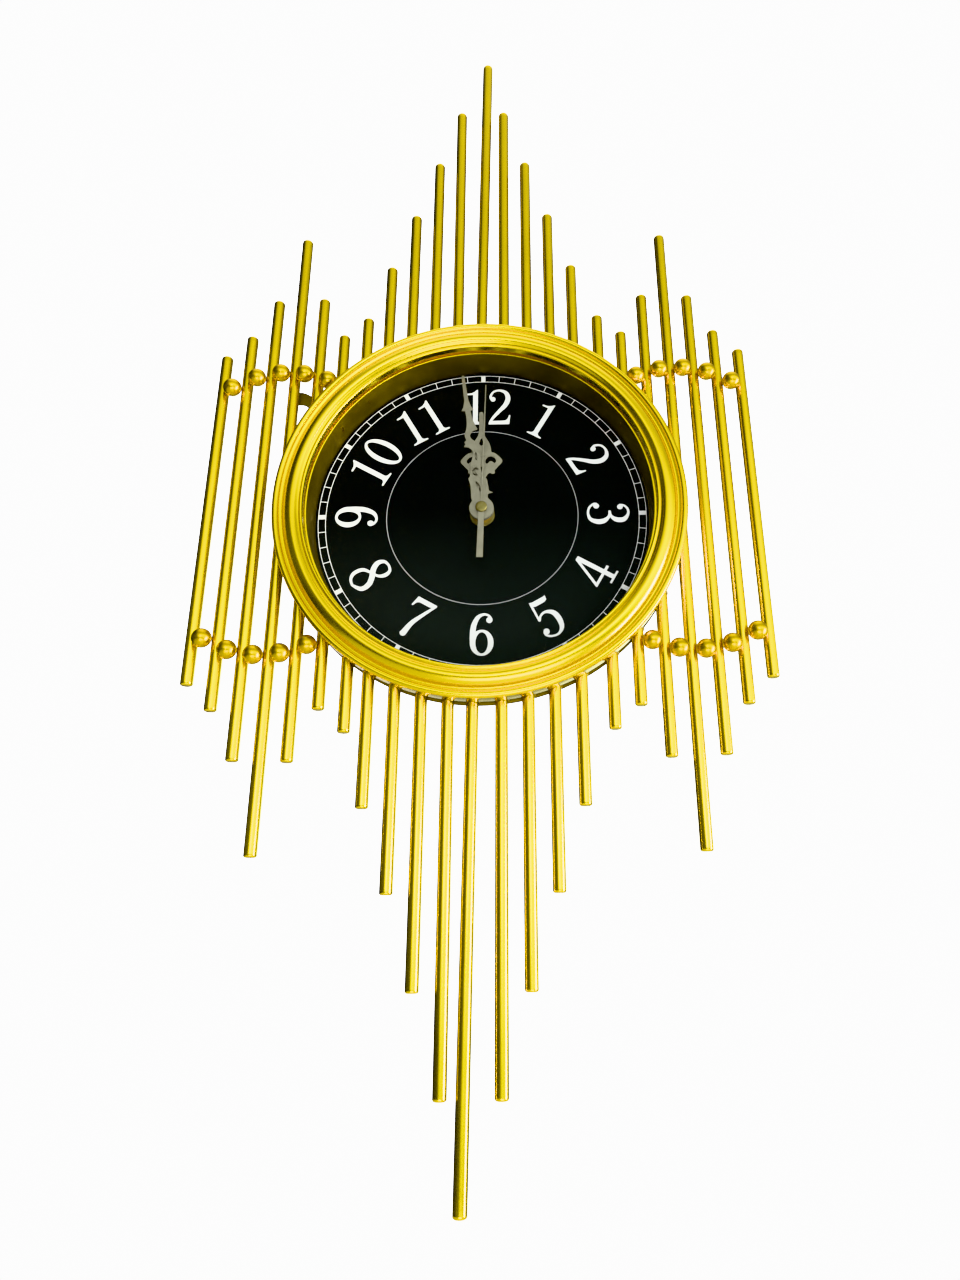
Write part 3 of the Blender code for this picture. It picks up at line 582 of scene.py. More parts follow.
def make_rod(name, x, low, high, material, low_free=True, high_free=True, slope=0.0):
    """Upright bar: a chamfer below and a dome on top. An end that isn't free follows the drum's outside."""
    bm = bmesh.new()
    rings = []
    if low_free:
        rings += [(low, 0.0), (low, 0.74), (low + 0.3 * END_CHAMFER, 0.88), (low + END_CHAMFER, 1.0)]
    else:
        rings += [(low, 0.0), (low, 1.0)]
    first = rings[-1][0] + 1.0
    last = high - END_ROUND if high_free else high
    count = max(2, int((last - first) / 3.0))
    rings += [(first + (last - first) * i / count, 1.0) for i in range(count)]
    if high_free:
        for i in range(6):
            a = math.radians(16 * i)
            drop = END_ROUND * (1 - math.sin(a) / math.sin(math.radians(80)))
            rings.append((high - drop, 0.38 + 0.62 * math.cos(a)))
        rings.append((high, 0.0))
    else:
        rings += [(high, 1.0), (high, 0.0)]
    side = 1 if (low + high) > 0 else -1
    rows = []
    for index, (z, share) in enumerate(rings):
        welded = (not low_free and index < 2) or (not high_free and index > len(rings) - 3)
        middle = x + slope * z
        if share == 0.0:
            rows.append([bm.verts.new(mm(middle, ROD_Y, side * drum_edge(middle) if welded else z))])
            continue
        row = []
        for i in range(ROD_SIDES):
            a = 2 * math.pi * i / ROD_SIDES
            px = middle + ROD_RADIUS * share * math.sin(a)
            py = ROD_Y + ROD_RADIUS * share * math.cos(a)
            pz = side * drum_edge(px) if welded else z
            if low_free and high_free and abs(px) < SCOOP_RADIUS and abs(z) < drum_edge(px):
                px = math.copysign(math.sqrt(SCOOP_RADIUS ** 2 - z * z), x)
            row.append(bm.verts.new(mm(px, py, pz)))
        rows.append(row)
    for below, above in zip(rows, rows[1:]):
        join_rings(bm, below, above, ROD_SIDES)
    return new_object(name, bm, material, angle=50.0)


def rod_name(k, side):
    if k == 0:
        return "rod_middle"
    return f"rod_{'left' if side < 0 else 'right'}_{k:02d}"


def rod_x(k, side, part):
    """Where a rod's line crosses the height of the dial axis: the middle bars aren't evenly spaced."""
    if k == 0:
        return MIDDLE_SHIFT
    return side * PITCH * k + (SHIFTS[part] if k <= LAST_SHIFTED_ROD else 0.0)


def make_rods(m):
    for k in range(ROD_COUNT_EACH_SIDE + 1):
        for side in ((1,) if k == 0 else (-1, 1)):
            base = rod_name(k, side)
            if k >= FIRST_WHOLE_ROD:
                low, high = (corner.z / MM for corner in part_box(base))
                obj = make_rod("fine_" + base, side * PITCH * k, low, high, m["gold"])
                on_body(obj, "clock_case", STEEL, base)
                continue
            slope = MIDDLE_SLOPE if k == 0 else 0.0
            for part in ("upper", "lower"):
                node = f"{base}_{part}"
                x = rod_x(k, side, part)
                low, high = (corner.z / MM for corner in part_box(node))
                edge = drum_edge(x)
                if part == "upper":
                    obj = make_rod("fine_" + node, x, edge, high, m["gold"], low_free=False, slope=slope)
                else:
                    obj = make_rod("fine_" + node, x, low, -edge, m["gold"], high_free=False, slope=slope)
                on_body(obj, "clock_case", STEEL, node)


def ball_height(k):
    return BALL_ARC_TOP - BALL_ARC_DROP * (k - BALL_ARC_MIDDLE) ** 2


def make_balls(m):
    """Balls in front of the gap on the inner side of each outer rod, brazed to that rod."""
    for k in range(FIRST_WHOLE_ROD, ROD_COUNT_EACH_SIDE + 1):
        for side, word in ((-1, "left"), (1, "right")):
            for sign, part in ((1, "upper"), (-1, "lower")):
                x, z = side * (PITCH * k - BALL_TO_ROD), sign * ball_height(k)
                bm = bmesh.new()
                bmesh.ops.create_uvsphere(bm, u_segments=40, v_segments=24, radius=BALL_RADIUS * MM)
                bmesh.ops.translate(bm, verts=bm.verts, vec=mm(x, ROD_Y - BALL_FORWARD, z))
                # Balls and braze beads take the darker gold that is painted shade.
                ball = new_object(f"ball_{word}_{k:02d}_{part}", bm, m["ball"], angle=80.0)
                on_body(ball, "clock_case", STEEL)
                reach = BALL_RADIUS / math.hypot(BALL_TO_ROD, BALL_FORWARD)
                meet = (x + side * BALL_TO_ROD * reach, ROD_Y - BALL_FORWARD * (1 - reach), z)
                weld_bead(f"braze_{word}_{k:02d}_{part}", meet, BRAZE_SIZE, m["ball"], k * sign * side)


def weld_bead(name, place, size, material, seed):
    """A lump of weld on the case: an icosphere whose surface swells and sinks at random."""
    bm = bmesh.new()
    bmesh.ops.create_icosphere(bm, subdivisions=3, radius=size * MM)
    chance = random.Random(seed)
    lobes = [(Vector([chance.uniform(-1, 1) for _ in range(3)]).normalized(), chance.uniform(-0.14, 0.22))
             for _ in range(14)]
    for vert in bm.verts:
        way = vert.co.normalized()
        swell = sum(height * max(way.dot(lobe), 0.0) ** 10 for lobe, height in lobes)
        vert.co = vert.co * (1 + swell)
        vert.co.z *= 1.25
    bmesh.ops.translate(bm, verts=bm.verts, vec=mm(*place))
    on_body(new_object(name, bm, material, angle=80.0), "clock_case", STEEL)


# ---- case

def arc_points(centre_radius, centre_y, size, start, end, steps):
    """Points of an arc in the (radius, y) plane; 0 degrees points outwards, 90 towards the room."""
    points = []
    for i in range(steps + 1):
        a = math.radians(start + (end - start) * i / steps)
        points.append((centre_radius + size * math.cos(a), centre_y - size * math.sin(a)))
    return points


def bezel_section():
    """From the skirt's back edge over the bead, the groove and the crown to the rolled lip and back."""
    outside = [(130.4, -39.9), (130.5, -40.2), (130.5, -47.8)]
    bead = arc_points(128.8, -50.0, 2.2, -40, 150, 14)
    slopes = spline([(126.5, -49.9), (124.9, -49.4), (123.9, -50.3), (122.4, -52.1), (120.4, -53.4),
                     (118.2, -53.95), (116.2, -53.5), (114.9, -52.3), (113.9, -51.7)], 5)
    lip = arc_points(112.6, -51.3, 1.1, 45, 180, 8)
    inner = [(111.5, -50.6), (111.5, -48.0), (114.1, -48.0), (114.1, -41.0), (113.9, -41.0)]
    back = [(129.4, -41.0), (129.4, -39.9)]
    return outside + bead + slopes + lip + inner + back


def make_bezel(m):
    bezel = turned_piece("fine_bezel", bezel_section(), BEZEL_SIDES, m["gold"], 30.0)
    on_body(bezel, "clock_case", STEEL, "bezel")


def make_drum(m):
    """Spun tube with a rolled rim: gold outside, and inside, where the dial looks at it, a much darker olive
    gold that is painted shade.
    """
    rim = arc_points(RIM_OUTER - 0.5, DRUM_FRONT_Y + 0.5, 0.5, 90, -90, 6)
    corner = [(DRUM_OUTER + 0.25, DRUM_FRONT_Y + 1.05), (DRUM_OUTER, DRUM_FRONT_Y + 1.4)]
    ledge = [(DRUM_INNER, LEDGE_Y + 1.0), (LEDGE_INNER, LEDGE_Y + 1.0), (LEDGE_INNER, LEDGE_Y),
             (DRUM_INNER, LEDGE_Y)]
    mouth = [(DRUM_INNER, DRUM_FRONT_Y + 0.5), (DRUM_INNER + 0.2, DRUM_FRONT_Y + 0.12),
             (DRUM_INNER + 0.6, DRUM_FRONT_Y)]
    profile = rim + corner + [(DRUM_OUTER, DRUM_BACK_Y), (DRUM_INNER, DRUM_BACK_Y)] + ledge + mouth
    drum = turned_piece("fine_case_drum", profile, BEZEL_SIDES, m["gold"], 40.0)
    # The inside faces take the darker gold that is painted shade.
    drum.data.materials.append(m["inner"])
    for face in drum.data.polygons:
        middle = face.center / MM
        if math.hypot(middle.x, middle.z) < DRUM_INNER + 0.2:
            face.material_index = 1
    on_body(drum, "clock_case", STEEL, "case_drum")


def rods_and_halves(count):
    """(k, side, part, sign) of each upper and lower half of the rods up to count, from the middle out."""
    for k in range(count):
        for side in ((1,) if k == 0 else (-1, 1)):
            for part, sign in (("upper", 1), ("lower", -1)):
                yield k, side, part, sign


def make_support_ring(m):
    """Flat ring behind the rods, wider than the bezel's skirt and tacked to them, and a strap beside it."""
    inner, outer = RING_RADII
    front, back = RING_Y
    c = RING_CHAMFER
    section = [(inner, front + c), (inner + c, front), (outer - c, front), (outer, front + c),
               (outer, back - c), (outer - c, back), (inner + c, back), (inner, back - c)]
    # The ring and the strap take the darker gold that is painted shade, for where they lie behind the rods
    # under the bezel.
    around = turned_piece("support_ring", section, BEZEL_SIDES, m["inner"], 50.0)
    on_body(around, "clock_case", STEEL)
    edge = [(-128.0, 91.0), (-122.0, 90.4), (-116.0, 87.0), (-111.0, 81.5), (-108.0, 76.0), (-105.0, 72.0)]
    under = [(-109.0, 67.0), (-113.0, 71.5), (-117.0, 77.0), (-121.0, 81.0), (-128.0, 81.5)]
    outline = spline(edge, 5) + spline(under, 5)
    strap = flat_piece("rod_strap", outline, [], front, front + STRAP_THICKNESS, m["inner"], 0.3)
    on_body(strap, "clock_case", STEEL)
    middle = (inner + outer) / 2
    for k, side, part, sign in rods_and_halves(ROD_COUNT_EACH_SIDE):
        x = rod_x(k, side, part)
        if abs(x) > middle:
            continue
        z = sign * math.sqrt(middle ** 2 - x * x)
        x += MIDDLE_SLOPE * z if k == 0 else 0.0
        place = (x + 0.9 * ROD_RADIUS, ROD_Y + ROD_RADIUS, z)
        weld_bead(f"tack_{rod_name(k, side)}_{part}", place, TACK_SIZE, m["weld"], k * 5 * side - sign)


def make_glass_and_dial(m):
    front, back = GLASS_Y
    pane = [(0.0, front), (RIM_OUTER - 0.5, front), (RIM_OUTER, front + 0.5), (RIM_OUTER, back - 0.5),
            (RIM_OUTER - 0.5, back), (0.0, back)]
    glass = turned_piece("fine_front_glass", pane, BEZEL_SIDES, m["glass"], 20.0)
    on_body(glass, "clock_case", "clear_glass", "front_glass")
    face = [(DIAL_HOLE, DIAL_FRONT_Y), (DIAL_RADIUS - 0.2, DIAL_FRONT_Y),
            (DIAL_RADIUS, DIAL_FRONT_Y + 0.2), (DIAL_RADIUS, DIAL_BACK_Y), (DIAL_HOLE, DIAL_BACK_Y)]
    dial = turned_piece("fine_dial_plate", face, BEZEL_SIDES, m["enamel"], 30.0)
    on_body(dial, "clock_case", "dial_enamel", "dial_plate")


def keyhole():
    """Round hole for a screw head, with a narrower slot above it for the shank."""
    start = math.asin(KEYHOLE_SLOT / KEYHOLE_RADIUS)
    around = [start + (2 * math.pi - 2 * start) * i / 36 for i in range(37)]
    outline = [(KEYHOLE_RADIUS * math.sin(a), KEYHOLE_Z + KEYHOLE_RADIUS * math.cos(a)) for a in around]
    for i in range(17):
        a = math.pi * i / 16
        outline.append((-KEYHOLE_SLOT * math.cos(a), KEYHOLE_TOP - KEYHOLE_SLOT * (1 - math.sin(a))))
    return outline


def rounded_box(left, right, low, high, radius):
    steps = 6
    points = []
    for cx, cz, start in ((right - radius, high - radius, 0), (right - radius, low + radius, 90),
                          (left + radius, low + radius, 180), (left + radius, high - radius, 270)):
        for i in range(steps + 1):
            a = math.radians(start + 90 * i / steps)
            points.append((cx + radius * math.sin(a), cz + radius * math.cos(a)))
    return points


def cross_outline(x, z, reach, half):
    corners = [(half, reach), (half, half), (reach, half), (reach, -half), (half, -half),
               (half, -reach), (-half, -reach), (-half, -half), (-reach, -half), (-reach, half),
               (-half, half), (-half, reach)]
    return [(x + a, z + b) for a, b in corners]


def make_back_cover(m):
    """Cover with a keyhole, a battery window and a hole for the setting knob, held by countersunk screws."""
    places = []
    for i in range(COVER_SCREWS):
        a = math.radians(30 + 360 * i / COVER_SCREWS)
        places.append((COVER_SCREW_RADIUS * math.sin(a), COVER_SCREW_RADIUS * math.cos(a)))
    holes = [keyhole(), rounded_box(*WINDOW, 1.0), ellipse(KNOB_X, 0.0, KNOB_HOLE, KNOB_HOLE, 48)]
    sink = SCREW_HEAD_RADIUS + 0.15
    holes += [ellipse(x, z, sink, sink, 24) for x, z in places]
    outline = ellipse(0, 0, COVER_RADIUS, COVER_RADIUS, BEZEL_SIDES)
    cover = flat_piece("fine_back_cover", outline, holes, -COVER_THICKNESS, 0.0, m["black"], 0.2)
    on_body(cover, "clock_case", "black_paint", "back_cover")
    for i, (x, z) in enumerate(places):
        bm = bmesh.new()
        r = SCREW_HEAD_RADIUS
        plate(bm, ellipse(x, z, r, r, 32), [cross_outline(x, z, 1.5, 0.32)], -0.7, -0.08)
        lathe(bm, [(0.0, -0.7), (r, -0.7), (1.4, -1.9), (1.4, -9.0), (0.9, -10.0), (0.0, -10.0)], 24, x, z)
        screw = new_object(f"cover_screw_{i + 1}", bm, m["tin"], angle=30.0)
        on_body(screw, "clock_case", "magnet")
        outline = rounded_box(x - 4.0, x + 4.0, z - 3.4, z + 3.4, 1.0)
        bore = ellipse(x, z, 1.6, 1.6, 20)
        tab = flat_piece(f"cover_tab_{i + 1}", outline, [bore], -2.9, -1.35, m["gold"], 0.2)
        on_body(tab, "clock_case", STEEL)


def make_drum_welds(m):
    """A bead of weld where each cut rod meets the drum."""
    for k, side, part, sign in rods_and_halves(FIRST_WHOLE_ROD):
        x = rod_x(k, side, part) + (MIDDLE_SLOPE * sign * SCOOP_RADIUS if k == 0 else 0.0)
        place = (x, ROD_Y + ROD_RADIUS * 0.8, sign * (drum_edge(x) + WELD_SIZE))
        weld_bead(f"weld_{rod_name(k, side)}_{part}", place, WELD_SIZE, m["weld"], k * 7 * side + sign)


# ---- dial print

def pen(points):
    """Outline of a pen stroke along a smooth line; a point is (x, z, width)."""
    line = spline(points, 8)
    left, right = [], []
    for i, (x, z, width) in enumerate(line):
        before, after = line[max(i - 1, 0)], line[min(i + 1, len(line) - 1)]
        dx, dz = after[0] - before[0], after[1] - before[1]
        length = math.hypot(dx, dz) or 1.0
        dx, dz = dx / length, dz / length
        left.append((x - dz * width / 2, z + dx * width / 2))
        right.append((x + dz * width / 2, z - dx * width / 2))
    return left + right[::-1]


def turned_half(shapes):
    """Shapes turned half a turn about the middle of the digit."""
    return [[[(-x, 1 - z) for x, z in loop] for loop in shape] for shape in shapes]


def digit_shapes(digit):
    """Shapes of a numeral of height 1 on z = 0, round x = 0. A shape is its outline, then its holes."""
    if digit == "0":
        return [[ellipse(0, 0.5, 0.275, 0.505, 56), ellipse(0, 0.5, 0.155, 0.447, 56)]]
    if digit == "1":
        foot = [(-0.19, 0.0), (0.19, 0.0), (0.19, 0.035), (0.10, 0.055), (0.062, 0.10)]
        top = [(0.062, 1.0), (0.035, 1.0), (-0.02, 0.945), (-0.09, 0.905), (-0.22, 0.885), (-0.22, 0.845)]
        return [[foot + top + [(-0.058, 0.85), (-0.058, 0.10), (-0.10, 0.055), (-0.19, 0.035)]]]
    if digit == "2":
        arch = pen([(-0.19, 0.70, 0.07), (-0.225, 0.80, 0.06), (-0.15, 0.93, 0.055), (0.0, 0.97, 0.062),
                    (0.15, 0.90, 0.10), (0.205, 0.74, 0.122), (0.14, 0.55, 0.118), (-0.02, 0.36, 0.09),
                    (-0.16, 0.19, 0.07), (-0.24, 0.06, 0.055)])
        foot = [(-0.27, 0.0), (0.235, 0.0), (0.262, 0.25), (0.235, 0.262), (0.20, 0.17), (0.15, 0.11),
                (0.06, 0.10), (-0.20, 0.098), (-0.27, 0.05)]
        return [[arch], [foot], [ellipse(-0.165, 0.715, 0.062, 0.068, 24)]]
    if digit == "3":
        upper = pen([(-0.215, 0.77, 0.05), (-0.20, 0.88, 0.05), (-0.10, 0.965, 0.055), (0.03, 0.965, 0.065),
                     (0.16, 0.86, 0.115), (0.165, 0.69, 0.115), (0.07, 0.565, 0.07), (-0.07, 0.535, 0.05)])
        lower = pen([(-0.07, 0.535, 0.05), (0.08, 0.515, 0.065), (0.19, 0.40, 0.115), (0.215, 0.25, 0.122),
                     (0.15, 0.085, 0.085), (0.0, 0.028, 0.055), (-0.15, 0.06, 0.05), (-0.245, 0.16, 0.05),
                     (-0.25, 0.24, 0.05)])
        return [[upper], [lower], [ellipse(-0.165, 0.785, 0.065, 0.068, 24)],
                [ellipse(-0.195, 0.225, 0.068, 0.07, 24)]]
    if digit == "4":
        stem = [(0.055, 0.04), (0.055, 1.0), (0.165, 1.0), (0.165, 0.04)]
        slope = [(0.055, 1.0), (0.10, 0.955), (-0.215, 0.315), (-0.30, 0.25), (-0.30, 0.285)]
        bar = [(-0.30, 0.25), (0.285, 0.25), (0.285, 0.315), (-0.28, 0.315)]
        foot = [(-0.06, 0.0), (0.28, 0.0), (0.28, 0.05), (-0.06, 0.05)]
        return [[stem], [slope], [bar], [foot]]
    if digit == "5":
        flag = [(-0.20, 0.99), (-0.12, 0.965), (0.20, 0.965), (0.215, 0.99), (0.195, 0.87), (0.12, 0.84),
                (-0.10, 0.84), (-0.165, 0.87)]
        stem = pen([(-0.175, 0.95, 0.05), (-0.19, 0.72, 0.05), (-0.205, 0.49, 0.045)])
        bowl = pen([(-0.20, 0.49, 0.04), (-0.12, 0.59, 0.05), (0.02, 0.62, 0.06), (0.165, 0.52, 0.11),
                    (0.205, 0.33, 0.125), (0.16, 0.13, 0.10), (0.02, 0.028, 0.055), (-0.14, 0.05, 0.05),
                    (-0.24, 0.13, 0.05), (-0.25, 0.22, 0.05)])
        return [[flag], [stem], [bowl], [ellipse(-0.195, 0.205, 0.068, 0.072, 24)]]
    if digit == "6":
        bowl = [ellipse(0.005, 0.30, 0.265, 0.305, 48), ellipse(0.005, 0.30, 0.14, 0.248, 48)]
        side = pen([(0.225, 0.84, 0.05), (0.17, 0.93, 0.05), (0.06, 0.97, 0.055), (-0.08, 0.90, 0.09),
                    (-0.175, 0.70, 0.12), (-0.20, 0.45, 0.125), (-0.195, 0.28, 0.12)])
        return [bowl, [side], [ellipse(0.175, 0.835, 0.07, 0.072, 24)]]
    if digit == "7":
        bar = [(-0.265, 0.74), (-0.235, 0.74), (-0.19, 0.84), (-0.13, 0.875), (0.13, 0.875), (0.27, 0.935),
               (0.27, 0.985), (-0.21, 0.985), (-0.225, 0.99)]
        slope = pen([(0.245, 0.95, 0.05), (0.10, 0.66, 0.075), (-0.03, 0.36, 0.105), (-0.075, 0.06, 0.14)])
        return [[bar], [slope], [ellipse(-0.078, 0.062, 0.072, 0.062, 24)]]
    if digit == "8":
        heavy = pen([(0.02, 0.975, 0.05), (-0.12, 0.93, 0.07), (-0.17, 0.78, 0.11), (-0.08, 0.62, 0.125),
                     (0.08, 0.50, 0.125), (0.20, 0.35, 0.12), (0.205, 0.16, 0.10), (0.02, 0.025, 0.05)])
        light = pen([(0.0, 0.975, 0.05), (0.14, 0.93, 0.065), (0.185, 0.79, 0.09), (0.12, 0.64, 0.06),
                     (-0.05, 0.53, 0.055), (-0.20, 0.40, 0.08), (-0.22, 0.19, 0.085), (-0.12, 0.06, 0.06),
                     (0.03, 0.025, 0.05)])
        return [[heavy], [light]]
    return turned_half(digit_shapes("6"))


def set_on_dial(loop, shift, turn, centre):
    """A loop of a digit, moved along its numeral, scaled and turned to its place on the dial."""
    scaled = [((x + shift) * NUMERAL_HEIGHT, (z - 0.5) * NUMERAL_HEIGHT) for x, z in loop]
    return [(centre[0] + x, centre[1] + z) for x, z in turned_points(scaled, turn)]


def make_numerals(m):
    """Twelve hours: tops outwards from 9 round to 3, and inwards from 4 to 8."""
    bm = bmesh.new()
    for hour in range(1, 13):
        turn = 30 * hour + (180 if 4 <= hour <= 8 else 0)
        (cx, cz), = turned_points([(0.0, NUMERAL_RADIUS)], 30 * hour)
        centre = (cx + (TWELVE_SHIFT if hour == 12 else 0.0), cz)
        digits = str(hour)
        for index, digit in enumerate(digits):
            shift = (index - (len(digits) - 1) / 2) * DIGIT_GAP
            for layer, shape in enumerate(digit_shapes(digit)):
                outline, *holes = [set_on_dial(loop, shift, turn, centre) for loop in shape]
                plate(bm, outline, holes, DIAL_FRONT_Y - PRINT_HEIGHT - PRINT_STEP * layer,
                      DIAL_FRONT_Y - PRINT_LIFT)
    on_body(new_object("dial_numerals", bm, m["ink"], smooth=False), "clock_case", "dial_enamel")


def ring(bm, radius, width, front, back):
    lathe(bm, [(radius + width / 2, back), (radius + width / 2, front), (radius - width / 2, front),
               (radius - width / 2, back)], BEZEL_SIDES)


def make_track(m):
    """Two circles with sixty marks between them, a block at each hour, and a hair circle further in."""
    bm = bmesh.new()
    front, back = DIAL_FRONT_Y - PRINT_HEIGHT, DIAL_FRONT_Y - PRINT_LIFT
    ring(bm, TRACK_OUTER, TRACK_LINE, front - PRINT_STEP, back)
    ring(bm, TRACK_INNER, TRACK_LINE, front - PRINT_STEP, back)
    ring(bm, HAIR_CIRCLE, 0.5 * TRACK_LINE, front, back)
    for minute in range(60):
        half = (HOUR_MARK if minute % 5 == 0 else MINUTE_MARK) / 2
        corners = [(-half, TRACK_INNER), (half, TRACK_INNER), (half, TRACK_OUTER), (-half, TRACK_OUTER)]
        plate(bm, turned_points(corners, 6 * minute), [], front, back)
    on_body(new_object("dial_track", bm, m["ink"], smooth=False), "clock_case", "dial_enamel")


# ---- movement

def laid_on_x(bm, place, flip=False):
    """Turns what was made round the Y axis onto the X axis and moves it to its place."""
    turn = Matrix.Rotation(math.radians(90 if flip else -90), 3, "Z")
    bmesh.ops.rotate(bm, verts=bm.verts, matrix=turn, cent=(0.0, 0.0, 0.0))
    bmesh.ops.translate(bm, verts=bm.verts, vec=mm(*place))


def make_battery(m):
    """AA cell in its sleeve, with a shrunk lip at each end, and the spring and contact that hold it."""
    bm = bmesh.new()
    r = BATTERY_RADIUS
    profile = [(0.0, -24.9), (5.6, -24.9), (6.1, -25.0), (6.7, -24.9), (r, -24.4), (r, 22.9),
               (r - 0.3, 23.4), (r - 1.2, 23.6), (r - 1.5, 23.3), (3.0, 23.3), (2.7, 23.5), (2.7, 24.6),
               (2.3, 25.0), (0.0, 25.0)]
    lathe(bm, profile, 64)
    laid_on_x(bm, BATTERY_PLACE)
    cell = new_object("fine_battery", bm, m["sleeve"], angle=35.0)
    cell.data.materials.append(m["tin"])
    for face in cell.data.polygons:
        middle = face.center / MM
        off_axis = math.hypot(middle.y - BATTERY_PLACE[1], middle.z - BATTERY_PLACE[2])
        if abs(middle.x) > BATTERY_SHOULDER and off_axis < r - 1.4:
            face.material_index = 1
    on_body(cell, "clock_case", "battery_sleeve", "battery")
    curve = bpy.data.curves.new("battery_spring", "CURVE")
    curve.dimensions = "3D"
    curve.bevel_depth = 0.3 * MM
    curve.bevel_resolution = 3
    curve.use_fill_caps = True
    wire = curve.splines.new("POLY")
    count = SPRING_TURNS * SPRING_STEPS
    wire.points.add(count)
    for i in range(count + 1):
        share = i / count
        a = 2 * math.pi * SPRING_TURNS * share
        radius = SPRING_RADII[0] + (SPRING_RADII[1] - SPRING_RADII[0]) * share
        place = mm(SPRING_X[0] + (SPRING_X[1] - SPRING_X[0]) * share,
                   BATTERY_PLACE[1] + radius * math.sin(a), BATTERY_PLACE[2] + radius * math.cos(a))
        wire.points[i].co = (*place, 1.0)
    curve.materials.append(m["tin"])
    spring = bpy.data.objects.new("battery_spring", curve)
    bpy.context.scene.collection.objects.link(spring)
    on_body(spring, "clock_case", "magnet")
    bm = bmesh.new()
    lathe(bm, [(0.0, 0.95), (1.2, 0.9), (2.0, 0.35), (4.4, 0.3), (4.7, 0.2), (4.7, 0.0), (0.0, 0.0)], 40)
    laid_on_x(bm, (CONTACT_X, *BATTERY_PLACE[1:]), flip=True)
    on_body(new_object("battery_contact", bm, m["tin"], angle=30.0), "clock_case", "magnet")


def make_nut(m):
    """Hexagon nut on the threaded bush, over a flat washer on the dial."""
    hexagon, bore = ellipse(0, 0, NUT_CORNER, NUT_CORNER, 6), ellipse(0, 0, 4.1, 4.1, 48)
    nut = flat_piece("fine_bush_nut", hexagon, [bore], *NUT_Y, m["brass"], 0.35, 3)
    on_body(nut, "clock_case", "brass", "bush_nut")
    section = [(4.2, -23.8), (7.9, -23.8), (8.1, -23.65), (8.1, -23.3), (4.2, -23.3)]
    on_body(turned_piece("bush_washer", section, 96, m["dark_brass"], 35.0), "clock_case", "brass")
    thread = [(2.95, THREAD_FRONT_Y)]
    for i in range(8):
        y = THREAD_FRONT_Y + THREAD_PITCH * i
        thread += [(3.85, y), (4.02, y + THREAD_PITCH / 2)]
    thread += [(3.85, -24.4), (2.95, -24.4)]
    on_body(turned_piece("bush_thread", thread, 64, m["brass"], 25.0), "clock_case", "brass")


def make_knob(m):
    """Setting knob with rounded ribs and a dished end."""
    outline = []
    for i in range(144):
        a = 2 * math.pi * i / 144
        radius = KNOB_RADIUS + KNOB_RIB * math.cos(KNOB_RIBS * a)
        outline.append((KNOB_X + radius * math.sin(a), radius * math.cos(a)))
    dish = ellipse(KNOB_X, 0.0, 1.3, 1.3, 32)
    knob = flat_piece("fine_setting_knob", outline, [dish], *KNOB_Y, m["plastic"], 0.3, 3, 60.0, 50.0)
    on_body(knob, "motion", "black_plastic", "setting_knob")


# ---- hands

def mirrored(half):
    """A closed outline from its right half, listed from the foot to the tip."""
    return half + [(-x, z) for x, z in reversed(half) if x > 1e-6]


def boss_points(end_x):
    """Right half of the boss's edge, from below round to where the hand's foot leaves it."""
    steps = 20
    end = math.pi - math.asin(end_x / BOSS_RADIUS)
    return [(BOSS_RADIUS * math.sin(end * i / steps), -BOSS_RADIUS * math.cos(end * i / steps))
            for i in range(steps + 1)]


def hour_outline():
    """Spurred foot, curls, two ringed lobes, a pointed arch and a plain bar."""
    foot = [(4.5, 7.5), (4.1, 11.0), (7.4, 12.2), (5.0, 13.5), (4.6, 16.4), (3.9, 19.6), (3.7, 21.6),
            (2.6, 23.6)]
    curl = [(4.0, 25.6), (5.3, 26.6), (7.2, 25.9), (8.9, 26.7), (8.7, 28.4), (9.4, 29.6)]
    lobe = [(11.7, 32.2), (13.9, 35.5), (11.9, 38.8), (9.0, 41.5), (6.7, 42.2)]
    arch = [(6.4, 45.2), (5.6, 48.4), (4.3, 51.4), (2.7, 54.2), (1.8, 57.0)]
    bar = [(1.5, 60.0), (1.5, 72.0), (1.1, 73.2), (0.0, 73.7)]
    smooth = spline(foot, 2) + spline(curl, 3) + spline(lobe, 4) + spline(arch, 4) + bar
    kidney = [(2.7, 34.6), (2.8, 36.4), (3.8, 38.2), (5.8, 39.0), (8.0, 38.4), (9.5, 36.6), (9.5, 34.8),
              (8.6, 33.9), (7.8, 34.7), (6.6, 35.5), (5.2, 35.2), (4.4, 34.0), (3.4, 33.6)]
    drop = [(0.0, 53.0), (1.0, 50.8), (1.4, 48.8), (0.0, 47.4), (-1.4, 48.8), (-1.0, 50.8)]
    bud = [(0.0, 12.0), (1.5, 14.6), (0.9, 18.4), (0.0, 20.4), (-0.9, 18.4), (-1.5, 14.6)]
    holes = [spline(kidney, 3, closed=True), spline([(-x, z) for x, z in kidney], 3, closed=True),
             spline(drop, 4, closed=True), ellipse(0.0, 28.6, 0.9, 3.0, 20), spline(bud, 4, closed=True)]
    return mirrored(boss_points(4.5)[:-1] + smooth), holes


